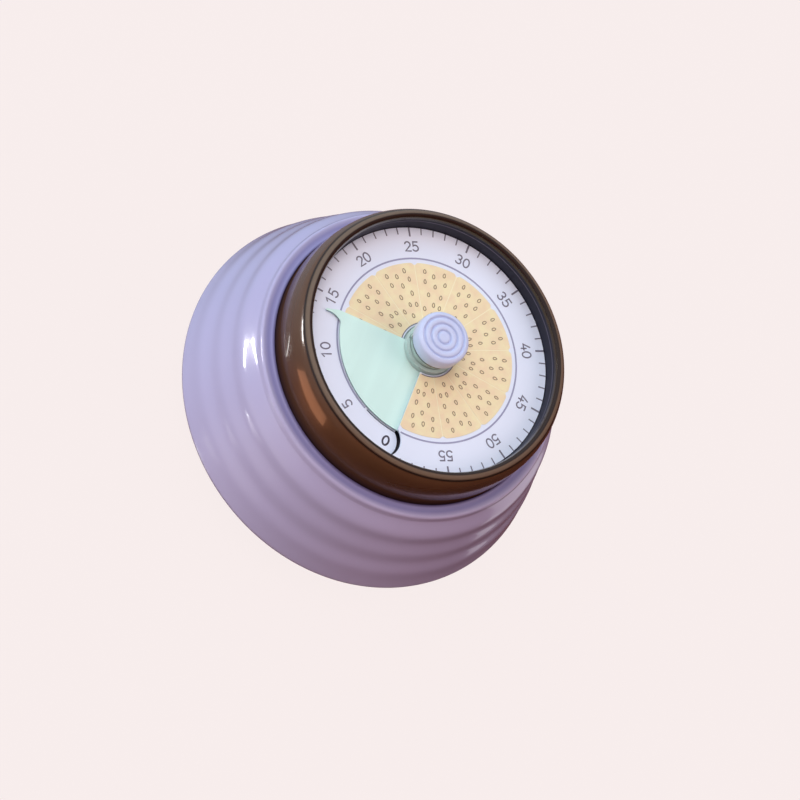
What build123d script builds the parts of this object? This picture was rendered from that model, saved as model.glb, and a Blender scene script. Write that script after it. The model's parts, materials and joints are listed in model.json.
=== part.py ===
"""Round wind-up visual kitchen timer, lying on its back, millimetres.

The origin is at the centre of the back face, +Z points out of the dial, +Y points to the 0 mark
and +X to the 15 minute mark. Minutes run clockwise seen from +Z. The knob stands at 14 minutes.
"""
from build123d import *
import math
import os

os.makedirs("parts", exist_ok=True)

# ---------------------------------------------------------------- driving dimensions
DIAL_Z = 38.2             # mean height of the dial face
REST_MINUTES = 14         # where the pointer stands
DEGREES_PER_MINUTE = 6
REST_ANGLE = REST_MINUTES * DEGREES_PER_MINUTE

BELLY_RADIUS = 42.1       # widest part of the casing
BELLY_Z = 7.7             # height where the casing starts to draw in
BELLY_TAPER = 0.33        # how fast the casing draws in above its widest part
RIB_SPACING = 3.15        # crest to valley
RIB_DEPTH = 0.2           # crest or valley from the mean line
RIB_TOP_Z = DIAL_Z - 12.95  # height of the top crest
RIB_POINTS = 6
BELLY_CREST_Z = DIAL_Z - 31.2
CASE_WALL = 2.0
COLLAR_RADIUS = 29.4      # collar inside the bezel
COLLAR_TOP_Z = DIAL_Z - 5.0
CHANNEL_RADIUS = 31.15    # outer wall of the channel that the bezel stands in
BEAD_Z = DIAL_Z - 7.85    # top of the bead round the cove
COVE_Z = BEAD_Z + 0.35    # inner edge of the cove, against the bezel
CHANNEL_Z = BEAD_Z - 0.95

BEZEL_RADIUS = 31.0
BEZEL_BORE = 29.5
BEZEL_WALL_RADIUS = 27.45
BEZEL_CREST_Z = DIAL_Z + 4.75

COVER_RADIUS = 32.6
COVER_BOTTOM_Z = 0.8
COVER_TOP_Z = 2.8
FOOT_INNER = 19.0
FOOT_OUTER = 23.0
FOOT_GROOVE_DEPTH = 1.0
MAGNET_RADIUS = 4.5
MAGNET_CIRCLE = 10.5
MAGNET_THICKNESS = 1.4
COVER_SCREW_CIRCLE = 29.4
COVER_SCREW_START = 30
BOSS_RADIUS = 2.6
BOSS_TOP_Z = 10.5

RAMP_PITCH = 1.3          # rise of the dial in one full turn, clockwise from the 0 line
PLATE_THICKNESS = 0.4
DISC_THICKNESS = 0.25
RAMP_GAP = (RAMP_PITCH - PLATE_THICKNESS - DISC_THICKNESS) / 2
PLATE_RADIUS = 27.3
PLATE_HUB_RADIUS = 5.75
SKIRT_INNER = 26.3
SECTOR_RADIUS = 20.0
POINTER_RADIUS = 23.6
POINTER_LEAN = 2.0        # degrees that the tip bends back from the leading edge
SLIT_END_RADIUS = 20.45
ARC_CUT_WIDTH = 0.3
ARC_CUT_SPAN = 21         # degrees
TAB_SPAN = 6              # degrees
TAB_BULGE = 1.3

STEM_RADIUS = 4.7
KEY_REACH = 5.05
KEY_WIDTH = 1.0
SLEEVE_BOTTOM_Z = DIAL_Z - 8.0
SLEEVE_FLANGE_Z = DIAL_Z + 3.85
CAP_BOTTOM_Z = DIAL_Z + 4.6
CAP_TOP_Z = DIAL_Z + 7.9
CAP_RADIUS = 5.8

CARRIER_RADIUS = 29.3
CARRIER_TOP_Z = DIAL_Z - 3.6
CARRIER_HOLE = 6.2

PLATE_DISC_RADIUS = 24.0
BACK_PLATE_Z = 13.2
FRONT_PLATE_Z = 28.2
MOVEMENT_PLATE = 1.0
PILLAR_CIRCLE = 21.5
PILLAR_START = 85
PILLAR_RADIUS = 1.6
PILLAR_STUD = 1.0
MOVEMENT_SCREW_CIRCLE = 17.0
MOVEMENT_SCREW_START = 25
ARBOR_RADIUS = 1.5
ARBOR_PIVOT = 1.0
RUNNING_FIT = 0.05        # radial play of a turning pivot

MAIN_TEETH = 48
WHEEL_TEETH = 32
PINION_TEETH = 8
MAIN_MODULE = 0.5
SECOND_MODULE = 0.45
THIRD_MODULE = 0.4
ESCAPE_TEETH = 15
ESCAPE_TIP = 4.5
SECOND_ANGLE = 0
THIRD_ANGLE = 95
ESCAPE_ANGLE = 154
PALLET_ANGLE = 171
PALLET_DISTANCE = 6.6

BELL_CENTRE = (-10.0, -8.0)
BELL_RADIUS = 16.0
BELL_BOTTOM_Z = 4.1
BELL_RIM_Z = 11.2
BELL_WALL = 0.8


# ---------------------------------------------------------------- shared geometry
def polar(radius, degrees, centre=(0.0, 0.0)):
    """Point at a radius and at an angle counted anticlockwise from +X."""
    turn = math.radians(degrees)
    return (centre[0] + radius * math.cos(turn), centre[1] + radius * math.sin(turn))


def at_minute_angle(radius, degrees):
    """Point at a radius and at an angle counted clockwise from the 0 mark."""
    return polar(radius, 90 - degrees)


def ramp_z(degrees):
    """Height of the dial face at an angle clockwise from the 0 line."""
    return DIAL_Z + RAMP_PITCH * (degrees / 360 - 0.5)


def screw_ring(inner, outer, start, turn, bottom, thickness):
    """Ring that climbs clockwise with the dial; bottom is its underside above the dial face."""
    rise = RAMP_PITCH * turn / 360
    inner_edge = Edge.make_helix(RAMP_PITCH, rise, inner, lefthand=True)
    outer_edge = Edge.make_helix(RAMP_PITCH, rise, outer, lefthand=True)
    underside = Face.make_surface_from_curves(inner_edge, outer_edge)
    ring = extrude(underside, amount=thickness, dir=(0, 0, 1))
    return Pos(0, 0, ramp_z(start) + bottom) * Rot(0, 0, 90 - start) * ring


def gear_outline(teeth, module, slimness, phase=0.0, centre=(0.0, 0.0)):
    """Outline of a gear with straight-sided teeth; slimness thins them for backlash."""
    pitch_radius = teeth * module / 2
    half_pitch = 180 / teeth
    tooth = ((-1.1, -0.58), (0, -0.38), (0.8, -0.2), (0.8, 0.2), (0, 0.38), (-1.1, 0.58))
    points = []
    for index in range(teeth):
        middle = phase + index * 360 / teeth
        for height, width in tooth:
            angle = middle + width * slimness * half_pitch
            points.append(polar(pitch_radius + height * module, angle, centre))
    return points


def mesh_phase(phase, teeth, mate_teeth, direction):
    """Angle of a mating gear's tooth, so that it stands in a gap of the first gear."""
    return direction + 180 - (phase - direction) * teeth / mate_teeth - 180 / mate_teeth


def saw_outline(teeth, root, tip, centre=(0.0, 0.0), phase=0.0):
    """Outline of a wheel with pointed, one-sided teeth."""
    points = []
    for index in range(teeth):
        angle = phase + index * 360 / teeth
        points.append(polar(root, angle, centre))
        points.append(polar(tip, angle + 40 / teeth, centre))
    return points


SECOND_CENTRE = polar(MAIN_MODULE * (MAIN_TEETH + PINION_TEETH) / 2, SECOND_ANGLE)
THIRD_CENTRE = polar(SECOND_MODULE * (WHEEL_TEETH + PINION_TEETH) / 2, THIRD_ANGLE, SECOND_CENTRE)
ESCAPE_CENTRE = polar(THIRD_MODULE * (WHEEL_TEETH + PINION_TEETH) / 2, ESCAPE_ANGLE, THIRD_CENTRE)
PALLET_CENTRE = polar(PALLET_DISTANCE, PALLET_ANGLE, ESCAPE_CENTRE)
TRAIN_PIVOTS = (SECOND_CENTRE, THIRD_CENTRE, ESCAPE_CENTRE, PALLET_CENTRE)
TRAIN_PIVOT_RADIUS = 0.5
WHEEL_SLIMNESS = 1.0
PINION_SLIMNESS = 0.88
SECOND_PHASE = mesh_phase(0, MAIN_TEETH, PINION_TEETH, SECOND_ANGLE)
THIRD_PHASE = mesh_phase(THIRD_ANGLE, WHEEL_TEETH, PINION_TEETH, THIRD_ANGLE)
ESCAPE_PHASE = mesh_phase(ESCAPE_ANGLE, WHEEL_TEETH, PINION_TEETH, ESCAPE_ANGLE)

TRIP_CENTRE = (-9.0, 9.5)
TRIP_STUD_RADIUS = 0.6
HAMMER_CENTRE = (BELL_CENTRE[0] + 6.0, BELL_CENTRE[1])
HAMMER_STUD_RADIUS = 1.0


# ---------------------------------------------------------------- casing
def mean_casing_radius(height):
    """Casing radius at a height, between rib crests and valleys."""
    return BELLY_RADIUS - BELLY_TAPER * (height - BELLY_Z)


rib_outline = []
for step in range(RIB_POINTS):
    rib_z = RIB_TOP_Z - step * RIB_SPACING
    crest = RIB_DEPTH if step % 2 == 0 else -RIB_DEPTH
    rib_outline.append((mean_casing_radius(rib_z) + crest, rib_z))

LEDGE_RADIUS = 31.6
LEDGE_TOP_Z = 4.4
belly_crest = (BELLY_RADIUS, BELLY_CREST_Z)
shell_edge = (35.2, COVER_BOTTOM_Z)
cove_edge = (CHANNEL_RADIUS, COVE_Z)
bead_top = (33.35, BEAD_Z)
bead_side = (34.0, BEAD_Z - 0.85)
bead_groove = (34.15, BEAD_Z - 1.75)
roof_z = CHANNEL_Z - 1.8
roof_corner = (32.2, roof_z)

with BuildPart() as body_shell:
    with BuildSketch(Plane.XZ) as body_profile:
        with BuildLine():
            Polyline((COLLAR_RADIUS, COLLAR_TOP_Z), (COLLAR_RADIUS, CHANNEL_Z),
                     (CHANNEL_RADIUS, CHANNEL_Z), cove_edge)
            Bezier(cove_edge, (31.6, BEAD_Z - 0.35), (32.8, BEAD_Z), bead_top)
            Bezier(bead_top, (33.7, BEAD_Z), (33.93, BEAD_Z - 0.3), bead_side)
            Spline(bead_side, bead_groove, *rib_outline, belly_crest, tangents=((0.1, -1), (0, -1)))
            Bezier(belly_crest, (BELLY_RADIUS, 5.2), (38.8, 2.4), shell_edge)
            Polyline(shell_edge, (COVER_RADIUS + 0.15, COVER_BOTTOM_Z),
                     (COVER_RADIUS + 0.15, COVER_TOP_Z), (LEDGE_RADIUS, COVER_TOP_Z),
                     (LEDGE_RADIUS, LEDGE_TOP_Z), (37.8, LEDGE_TOP_Z))
            Spline((37.8, LEDGE_TOP_Z), (39.5, 8.0), (38.3, 13.0), (36.4, 19.0), roof_corner)
            Polyline(roof_corner, (COLLAR_RADIUS - CASE_WALL, roof_z),
                     (COLLAR_RADIUS - CASE_WALL, COLLAR_TOP_Z), (COLLAR_RADIUS, COLLAR_TOP_Z))
        make_face()
    revolve(axis=Axis.Z)
    with BuildSketch(Plane.XY.offset(COVER_TOP_Z)) as bosses:
        with PolarLocations(COVER_SCREW_CIRCLE, 3, start_angle=COVER_SCREW_START):
            Circle(BOSS_RADIUS)
    extrude(amount=BOSS_TOP_Z - COVER_TOP_Z)
    with BuildSketch(Plane.XY.offset(LEDGE_TOP_Z)) as boss_webs:
        with PolarLocations(COVER_SCREW_CIRCLE + 4.6, 3, start_angle=COVER_SCREW_START):
            Rectangle(8.0, 2.0)
    extrude(amount=BOSS_TOP_Z - LEDGE_TOP_Z)
    with BuildSketch(Plane.XY.offset(COVER_TOP_Z)) as boss_bores:
        with PolarLocations(COVER_SCREW_CIRCLE, 3, start_angle=COVER_SCREW_START):
            Circle(1.25)
    extrude(amount=BOSS_TOP_Z - COVER_TOP_Z - 1.2, mode=Mode.SUBTRACT)
body_shell.part.label = "body_shell"
export_step(body_shell.part, "parts/body_shell.step")

with BuildPart() as back_cover:
    with BuildSketch(Plane.XY.offset(COVER_BOTTOM_Z)):
        Circle(COVER_RADIUS)
    extrude(amount=COVER_TOP_Z - COVER_BOTTOM_Z)
    with BuildSketch(Plane.XY.offset(COVER_BOTTOM_Z)) as foot_groove:
        Circle(FOOT_OUTER)
        Circle(FOOT_INNER, mode=Mode.SUBTRACT)
    extrude(amount=FOOT_GROOVE_DEPTH, mode=Mode.SUBTRACT)
    with BuildSketch(Plane.XY.offset(COVER_BOTTOM_Z)) as magnet_pockets:
        with PolarLocations(MAGNET_CIRCLE, 3, start_angle=90):
            Circle(MAGNET_RADIUS)
    extrude(amount=MAGNET_THICKNESS, mode=Mode.SUBTRACT)
    with BuildSketch(Plane.XY.offset(COVER_BOTTOM_Z)) as screw_holes:
        with PolarLocations(COVER_SCREW_CIRCLE, 3, start_angle=COVER_SCREW_START):
            Circle(1.35)
    extrude(amount=COVER_TOP_Z - COVER_BOTTOM_Z, mode=Mode.SUBTRACT)
    with BuildSketch(Plane.XY.offset(COVER_BOTTOM_Z)) as countersinks:
        with PolarLocations(COVER_SCREW_CIRCLE, 3, start_angle=COVER_SCREW_START):
            Circle(2.35)
    extrude(amount=1.1, taper=45, mode=Mode.SUBTRACT)
back_cover.part.label = "back_cover"
export_step(back_cover.part, "parts/back_cover.step")

with BuildPart() as foot_ring:
    with BuildSketch():
        Circle(FOOT_OUTER)
        Circle(FOOT_INNER, mode=Mode.SUBTRACT)
    extrude(amount=COVER_BOTTOM_Z + FOOT_GROOVE_DEPTH)
    fillet(foot_ring.edges().group_by(Axis.Z)[0], radius=0.35)
foot_ring.part.label = "foot_ring"
export_step(foot_ring.part, "parts/foot_ring.step")

with BuildPart() as magnets:
    with BuildSketch(Plane.XY.offset(COVER_BOTTOM_Z)):
        with PolarLocations(MAGNET_CIRCLE, 3, start_angle=90):
            Circle(MAGNET_RADIUS)
    extrude(amount=MAGNET_THICKNESS)
magnets.part.label = "magnets"
export_step(magnets.part, "parts/magnets.step")

with BuildPart() as cover_screws:
    with BuildSketch(Plane.XY.offset(COVER_BOTTOM_Z + 0.95)):
        with PolarLocations(COVER_SCREW_CIRCLE, 3, start_angle=COVER_SCREW_START):
            Circle(1.25)
    extrude(amount=7.5)
    with BuildSketch(Plane.XY.offset(COVER_BOTTOM_Z + 0.05)):
        with PolarLocations(COVER_SCREW_CIRCLE, 3, start_angle=COVER_SCREW_START):
            Circle(2.2)
    extrude(amount=0.95, taper=45)
    with BuildSketch(Plane.XY.offset(COVER_BOTTOM_Z + 0.05)):
        with PolarLocations(COVER_SCREW_CIRCLE, 3, start_angle=COVER_SCREW_START):
            Rectangle(2.6, 0.5)
            Rectangle(0.5, 2.6)
    extrude(amount=0.6, mode=Mode.SUBTRACT)
cover_screws.part.label = "cover_screws"
export_step(cover_screws.part, "parts/cover_screws.step")

bezel_foot = (BEZEL_RADIUS, CHANNEL_Z + 4.5)
rim_foot = (27.6, BEZEL_CREST_Z - 1.75)

with BuildPart() as bezel:
    with BuildSketch(Plane.XZ) as bezel_profile:
        with BuildLine():
            Line((BEZEL_RADIUS, CHANNEL_Z), bezel_foot)
            Spline(bezel_foot, (30.85, BEZEL_CREST_Z - 4.6), (30.45, BEZEL_CREST_Z - 2.35),
                   (29.85, BEZEL_CREST_Z - 0.95), (29.2, BEZEL_CREST_Z - 0.25),
                   (28.5, BEZEL_CREST_Z), (27.9, BEZEL_CREST_Z - 0.5), rim_foot,
                   tangents=((0, 1), (-0.05, -1)))
            Polyline(rim_foot, (BEZEL_WALL_RADIUS, DIAL_Z + 0.6),
                     (BEZEL_WALL_RADIUS, CARRIER_TOP_Z), (BEZEL_BORE, CARRIER_TOP_Z),
                     (BEZEL_BORE, CHANNEL_Z), (BEZEL_RADIUS, CHANNEL_Z))
        make_face()
    revolve(axis=Axis.Z)
bezel.part.label = "bezel"
export_step(bezel.part, "parts/bezel.step")


# ---------------------------------------------------------------- dial, carrier and sector disc
with BuildPart() as dial_carrier:
    with BuildSketch(Plane.XY.offset(COLLAR_TOP_Z)):
        Circle(CARRIER_RADIUS)
    extrude(amount=CARRIER_TOP_Z - COLLAR_TOP_Z)
    with BuildSketch(Plane.XY.offset(FRONT_PLATE_Z + MOVEMENT_PLATE)):
        with PolarLocations(MOVEMENT_SCREW_CIRCLE, 3, start_angle=MOVEMENT_SCREW_START):
            Circle(2.3)
    extrude(amount=CARRIER_TOP_Z - FRONT_PLATE_Z - MOVEMENT_PLATE)
    with BuildSketch(Plane.XY.offset(COLLAR_TOP_Z - 2.0)) as stiffening_ring:
        Circle(26.0)
        Circle(24.6, mode=Mode.SUBTRACT)
    extrude(amount=2.0)
    with BuildSketch(Plane.XY.offset(FRONT_PLATE_Z)) as through_holes:
        Circle(CARRIER_HOLE)
        with PolarLocations(MOVEMENT_SCREW_CIRCLE, 3, start_angle=MOVEMENT_SCREW_START):
            Circle(1.1)
    extrude(amount=CARRIER_TOP_Z - FRONT_PLATE_Z, mode=Mode.SUBTRACT)
dial_carrier.part.label = "dial_carrier"
export_step(dial_carrier.part, "parts/dial_carrier.step")

with BuildPart() as movement_screws:
    with BuildSketch(Plane.XY.offset(FRONT_PLATE_Z)):
        with PolarLocations(MOVEMENT_SCREW_CIRCLE, 3, start_angle=MOVEMENT_SCREW_START):
            Circle(1.0)
    extrude(amount=CARRIER_TOP_Z - FRONT_PLATE_Z)
    with BuildSketch(Plane.XY.offset(CARRIER_TOP_Z)):
        with PolarLocations(MOVEMENT_SCREW_CIRCLE, 3, start_angle=MOVEMENT_SCREW_START):
            Circle(1.9)
    extrude(amount=0.9)
    with BuildSketch(Plane.XY.offset(CARRIER_TOP_Z + 0.4)):
        with PolarLocations(MOVEMENT_SCREW_CIRCLE, 3, start_angle=MOVEMENT_SCREW_START):
            Rectangle(4.0, 0.5)
    extrude(amount=0.5, mode=Mode.SUBTRACT)
movement_screws.part.label = "movement_screws"
export_step(movement_screws.part, "parts/movement_screws.step")

dial_skin = screw_ring(PLATE_HUB_RADIUS, PLATE_RADIUS, 0, 360, -PLATE_THICKNESS, PLATE_THICKNESS)
above_skirt = screw_ring(SKIRT_INNER - 0.5, PLATE_RADIUS + 0.5, 0, 360, -0.1, RAMP_PITCH - 0.02)
tab_skin = screw_ring(SLIT_END_RADIUS, PLATE_RADIUS, -TAB_SPAN, TAB_SPAN,
                      -PLATE_THICKNESS, PLATE_THICKNESS)

with BuildPart() as dial_tab:
    add(tab_skin)
    with BuildSketch(Plane.XY.offset(DIAL_Z - 3)):
        with BuildLine():
            ThreePointArc((0, SLIT_END_RADIUS), (-TAB_BULGE, 23.4), (0, SKIRT_INNER))
            Line((0, SKIRT_INNER), (0, SLIT_END_RADIUS))
        make_face()
    extrude(amount=6, mode=Mode.INTERSECT)

with BuildPart() as dial_plate:
    with BuildSketch(Plane.XY.offset(CARRIER_TOP_Z)) as skirt:
        Circle(PLATE_RADIUS - 0.1)
        Circle(SKIRT_INNER, mode=Mode.SUBTRACT)
    extrude(amount=ramp_z(360) - 0.15 - CARRIER_TOP_Z)
    add(above_skirt, mode=Mode.SUBTRACT)
    add(dial_skin)
    with BuildSketch(Plane.XY.offset(DIAL_Z - 3)) as arc_cut:
        with BuildLine():
            CenterArc((0, 0), SLIT_END_RADIUS, 90 - ARC_CUT_SPAN, ARC_CUT_SPAN)
            CenterArc((0, 0), SLIT_END_RADIUS - ARC_CUT_WIDTH, 90 - ARC_CUT_SPAN, ARC_CUT_SPAN)
            Line((0, SLIT_END_RADIUS - ARC_CUT_WIDTH), (0, SLIT_END_RADIUS))
            Line(at_minute_angle(SLIT_END_RADIUS - ARC_CUT_WIDTH, ARC_CUT_SPAN),
                 at_minute_angle(SLIT_END_RADIUS, ARC_CUT_SPAN))
        make_face()
    extrude(amount=6, mode=Mode.SUBTRACT)
    with BuildSketch(Plane.XY.offset(DIAL_Z + 0.05)) as tab_window:
        with BuildLine():
            ThreePointArc((0, SLIT_END_RADIUS - 0.4), (-TAB_BULGE - 0.4, 23.4), (0, SKIRT_INNER + 0.3))
            Line((0, SKIRT_INNER + 0.3), (0, SLIT_END_RADIUS - 0.4))
        make_face()
    extrude(amount=2, mode=Mode.SUBTRACT)
    add(dial_tab.part)
dial_plate.part.label = "dial_plate"
export_step(dial_plate.part, "parts/dial_plate.step")

DISC_OPENING = 1.5        # degrees between the two edges of the disc's own slit
disc_start = REST_ANGLE - 360 + DISC_OPENING
disc_skin = screw_ring(STEM_RADIUS + 0.1, POINTER_RADIUS + 0.2, disc_start, 360 - DISC_OPENING,
                       RAMP_GAP, DISC_THICKNESS)
COLLAR_BOTTOM_Z = DIAL_Z - 2.4
COLLAR_TOP_AT_REST_Z = DIAL_Z + 1.55
POINTER_ANGLE = REST_ANGLE - POINTER_LEAN
pointer_root = at_minute_angle(SECTOR_RADIUS - 1, REST_ANGLE)
pointer_neck = at_minute_angle(SECTOR_RADIUS + 0.7, REST_ANGLE)
pointer_tip = at_minute_angle(POINTER_RADIUS - 0.2, POINTER_ANGLE)
pointer_back = at_minute_angle(POINTER_RADIUS - 0.25, POINTER_ANGLE - 1.0)
pointer_heel = at_minute_angle(SECTOR_RADIUS - 0.05, POINTER_ANGLE - 4.8)

with BuildPart() as sector_disc:
    add(disc_skin)
    with BuildSketch(Plane.XY.offset(DIAL_Z - 3)) as disc_outline:
        Circle(SECTOR_RADIUS)
        with BuildLine():
            Polyline(pointer_heel, pointer_root, pointer_neck, pointer_tip)
            ThreePointArc(pointer_tip, at_minute_angle(POINTER_RADIUS, POINTER_ANGLE - 0.55), pointer_back)
            Spline(pointer_back, at_minute_angle(SECTOR_RADIUS + 1.6, POINTER_ANGLE - 1.5),
                   at_minute_angle(SECTOR_RADIUS + 0.7, POINTER_ANGLE - 2.8), pointer_heel)
        make_face()
    extrude(amount=6, mode=Mode.INTERSECT)
    with BuildSketch(Plane.XY.offset(COLLAR_BOTTOM_Z)) as hub:
        Circle(PLATE_HUB_RADIUS - 0.25)
    extrude(amount=COLLAR_TOP_AT_REST_Z - COLLAR_BOTTOM_Z)
    with BuildSketch(Plane.XY.offset(COLLAR_BOTTOM_Z)) as keyed_bore:
        Circle(STEM_RADIUS + 0.1)
        with PolarLocations(0, 2):
            Rectangle(2 * KEY_REACH + 0.2, KEY_WIDTH + 0.2)
    extrude(amount=COLLAR_TOP_AT_REST_Z - COLLAR_BOTTOM_Z, mode=Mode.SUBTRACT)
sector_disc.part.label = "sector_disc"
export_step(sector_disc.part, "parts/sector_disc.step")


# ---------------------------------------------------------------- knob and arbor
with BuildPart() as knob_cap:
    with BuildSketch(Plane.XZ) as cap_profile:
        with BuildLine():
            Spline((0, CAP_TOP_Z - 0.05), (0.9, CAP_TOP_Z - 0.1), (1.6, CAP_TOP_Z - 0.4),
                   (2.3, CAP_TOP_Z - 0.1), (3.0, CAP_TOP_Z - 0.4), (3.7, CAP_TOP_Z - 0.08),
                   (4.35, CAP_TOP_Z - 0.4), (4.95, CAP_TOP_Z - 0.15), (5.6, CAP_TOP_Z - 0.6),
                   (CAP_RADIUS, CAP_TOP_Z - 1.3), tangents=((1, 0), (0, -1)))
            Polyline((CAP_RADIUS, CAP_TOP_Z - 1.3), (CAP_RADIUS, CAP_BOTTOM_Z + 0.3),
                     (CAP_RADIUS - 0.3, CAP_BOTTOM_Z), (3.5, CAP_BOTTOM_Z), (3.5, CAP_BOTTOM_Z + 1.2),
                     (0, CAP_BOTTOM_Z + 1.2), (0, CAP_TOP_Z - 0.05))
        make_face()
    revolve(axis=Axis.Z)
knob_cap.part.label = "knob_cap"
export_step(knob_cap.part, "parts/knob_cap.step")

with BuildPart() as knob_sleeve:
    with BuildSketch(Plane.XY.offset(SLEEVE_BOTTOM_Z)) as stem:
        Circle(STEM_RADIUS)
        Rectangle(2 * KEY_REACH, KEY_WIDTH)
    extrude(amount=SLEEVE_FLANGE_Z - SLEEVE_BOTTOM_Z)
    with BuildSketch(Plane.XY.offset(SLEEVE_FLANGE_Z)) as flange:
        Circle(CAP_RADIUS - 0.35)
    extrude(amount=CAP_BOTTOM_Z - SLEEVE_FLANGE_Z)
    with BuildSketch(Plane.XY.offset(CAP_BOTTOM_Z)) as spigot:
        Circle(3.45)
    extrude(amount=1.1)
    with BuildSketch(Plane.XY.offset(SLEEVE_BOTTOM_Z)) as arbor_bore:
        Circle(ARBOR_RADIUS)
    extrude(amount=SLEEVE_FLANGE_Z - SLEEVE_BOTTOM_Z, mode=Mode.SUBTRACT)
knob_sleeve.part.label = "knob_sleeve"
export_step(knob_sleeve.part, "parts/knob_sleeve.step")

with BuildPart() as arbor:
    with BuildSketch(Plane.XY.offset(BACK_PLATE_Z)) as arbor_pivot:
        Circle(ARBOR_PIVOT)
    extrude(amount=MOVEMENT_PLATE + 0.3)
    with BuildSketch(Plane.XY.offset(BACK_PLATE_Z + MOVEMENT_PLATE + 0.3)) as arbor_body:
        Circle(ARBOR_RADIUS)
    extrude(amount=SLEEVE_FLANGE_Z - BACK_PLATE_Z - MOVEMENT_PLATE - 0.3)
arbor.part.label = "arbor"
export_step(arbor.part, "parts/arbor.step")

CAM_BOTTOM_Z = BACK_PLATE_Z + 13.8
CAM_THICKNESS = 0.8
CAM_RADIUS = 4.5

with BuildPart() as alarm_cam:
    with BuildSketch(Plane.XY.offset(CAM_BOTTOM_Z)) as cam_outline:
        Circle(CAM_RADIUS)
        Circle(ARBOR_RADIUS, mode=Mode.SUBTRACT)
        with PolarLocations(CAM_RADIUS, 1, start_angle=40):
            Rectangle(1.6, 2.2, mode=Mode.SUBTRACT)
    extrude(amount=CAM_THICKNESS)
alarm_cam.part.label = "alarm_cam"
export_step(alarm_cam.part, "parts/alarm_cam.step")


# ---------------------------------------------------------------- movement frame
with BuildPart() as front_plate:
    with BuildSketch(Plane.XY.offset(FRONT_PLATE_Z)) as front_outline:
        Circle(PLATE_DISC_RADIUS)
        Circle(ARBOR_RADIUS + RUNNING_FIT, mode=Mode.SUBTRACT)
        with Locations(*TRAIN_PIVOTS):
            Circle(TRAIN_PIVOT_RADIUS + RUNNING_FIT, mode=Mode.SUBTRACT)
        with PolarLocations(PILLAR_CIRCLE, 3, start_angle=PILLAR_START):
            Circle(PILLAR_STUD, mode=Mode.SUBTRACT)
        with PolarLocations(MOVEMENT_SCREW_CIRCLE, 3, start_angle=MOVEMENT_SCREW_START):
            Circle(1.0, mode=Mode.SUBTRACT)
        with Locations(TRIP_CENTRE):
            Circle(TRIP_STUD_RADIUS, mode=Mode.SUBTRACT)
    extrude(amount=MOVEMENT_PLATE)
front_plate.part.label = "front_plate"
export_step(front_plate.part, "parts/front_plate.step")

with BuildPart() as back_plate:
    with BuildSketch(Plane.XY.offset(BACK_PLATE_Z)) as back_outline:
        Circle(PLATE_DISC_RADIUS)
        Circle(ARBOR_PIVOT + RUNNING_FIT, mode=Mode.SUBTRACT)
        with Locations(*TRAIN_PIVOTS):
            Circle(TRAIN_PIVOT_RADIUS + RUNNING_FIT, mode=Mode.SUBTRACT)
        with PolarLocations(PILLAR_CIRCLE, 3, start_angle=PILLAR_START):
            Circle(PILLAR_STUD, mode=Mode.SUBTRACT)
        with Locations(BELL_CENTRE):
            Circle(1.2, mode=Mode.SUBTRACT)
        with Locations(HAMMER_CENTRE):
            Circle(0.7, mode=Mode.SUBTRACT)
    extrude(amount=MOVEMENT_PLATE)
back_plate.part.label = "back_plate"
export_step(back_plate.part, "parts/back_plate.step")

with BuildPart() as plate_pillars:
    with BuildSketch(Plane.XY.offset(BACK_PLATE_Z + MOVEMENT_PLATE)):
        with PolarLocations(PILLAR_CIRCLE, 3, start_angle=PILLAR_START):
            Circle(PILLAR_RADIUS)
    extrude(amount=FRONT_PLATE_Z - BACK_PLATE_Z - MOVEMENT_PLATE)
    with BuildSketch(Plane.XY.offset(BACK_PLATE_Z - 1.2)):
        with PolarLocations(PILLAR_CIRCLE, 3, start_angle=PILLAR_START):
            Circle(PILLAR_STUD)
    extrude(amount=FRONT_PLATE_Z - BACK_PLATE_Z + MOVEMENT_PLATE + 2.4)
plate_pillars.part.label = "plate_pillars"
export_step(plate_pillars.part, "parts/plate_pillars.step")

with BuildPart() as pillar_nuts:
    for nut_z in (BACK_PLATE_Z - 1.0, FRONT_PLATE_Z + MOVEMENT_PLATE):
        with BuildSketch(Plane.XY.offset(nut_z)):
            with PolarLocations(PILLAR_CIRCLE, 3, start_angle=PILLAR_START):
                RegularPolygon(2.1, 6)
                Circle(PILLAR_STUD, mode=Mode.SUBTRACT)
        extrude(amount=1.0)
pillar_nuts.part.label = "pillar_nuts"
export_step(pillar_nuts.part, "parts/pillar_nuts.step")

SPRING_THICKNESS = 0.25
SPRING_STEP = 0.35        # growth of the spring's radius in half a turn
SPRING_START_RADIUS = 2.0
SPRING_HALF_TURNS = 18
SPRING_BOTTOM_Z = BACK_PLATE_Z + 9.2
SPRING_HEIGHT = 4.4


def spring_side(shift):
    """Arcs of one face of the mainspring, moved sideways from its middle line."""
    arcs = []
    radius = SPRING_START_RADIUS
    for index in range(SPRING_HALF_TURNS):
        left = index % 2 == 0
        middle_y = 0.0 if left else -SPRING_STEP
        side = -1 if left else 1
        reach = radius + shift
        first = (0, middle_y - reach) if left else (0, middle_y + reach)
        last = (0, middle_y + reach) if left else (0, middle_y - reach)
        arcs.append((first, (side * reach, middle_y), last))
        radius += SPRING_STEP
    return arcs


outer_side = spring_side(SPRING_THICKNESS / 2)
inner_side = spring_side(-SPRING_THICKNESS / 2)
spring_outer_end = outer_side[-1][2]
spring_inner_end = inner_side[-1][2]
anchor_pillar = polar(PILLAR_CIRCLE, PILLAR_START + 120)
spring_reach = anchor_pillar[0] + PILLAR_RADIUS - 0.1

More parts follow.
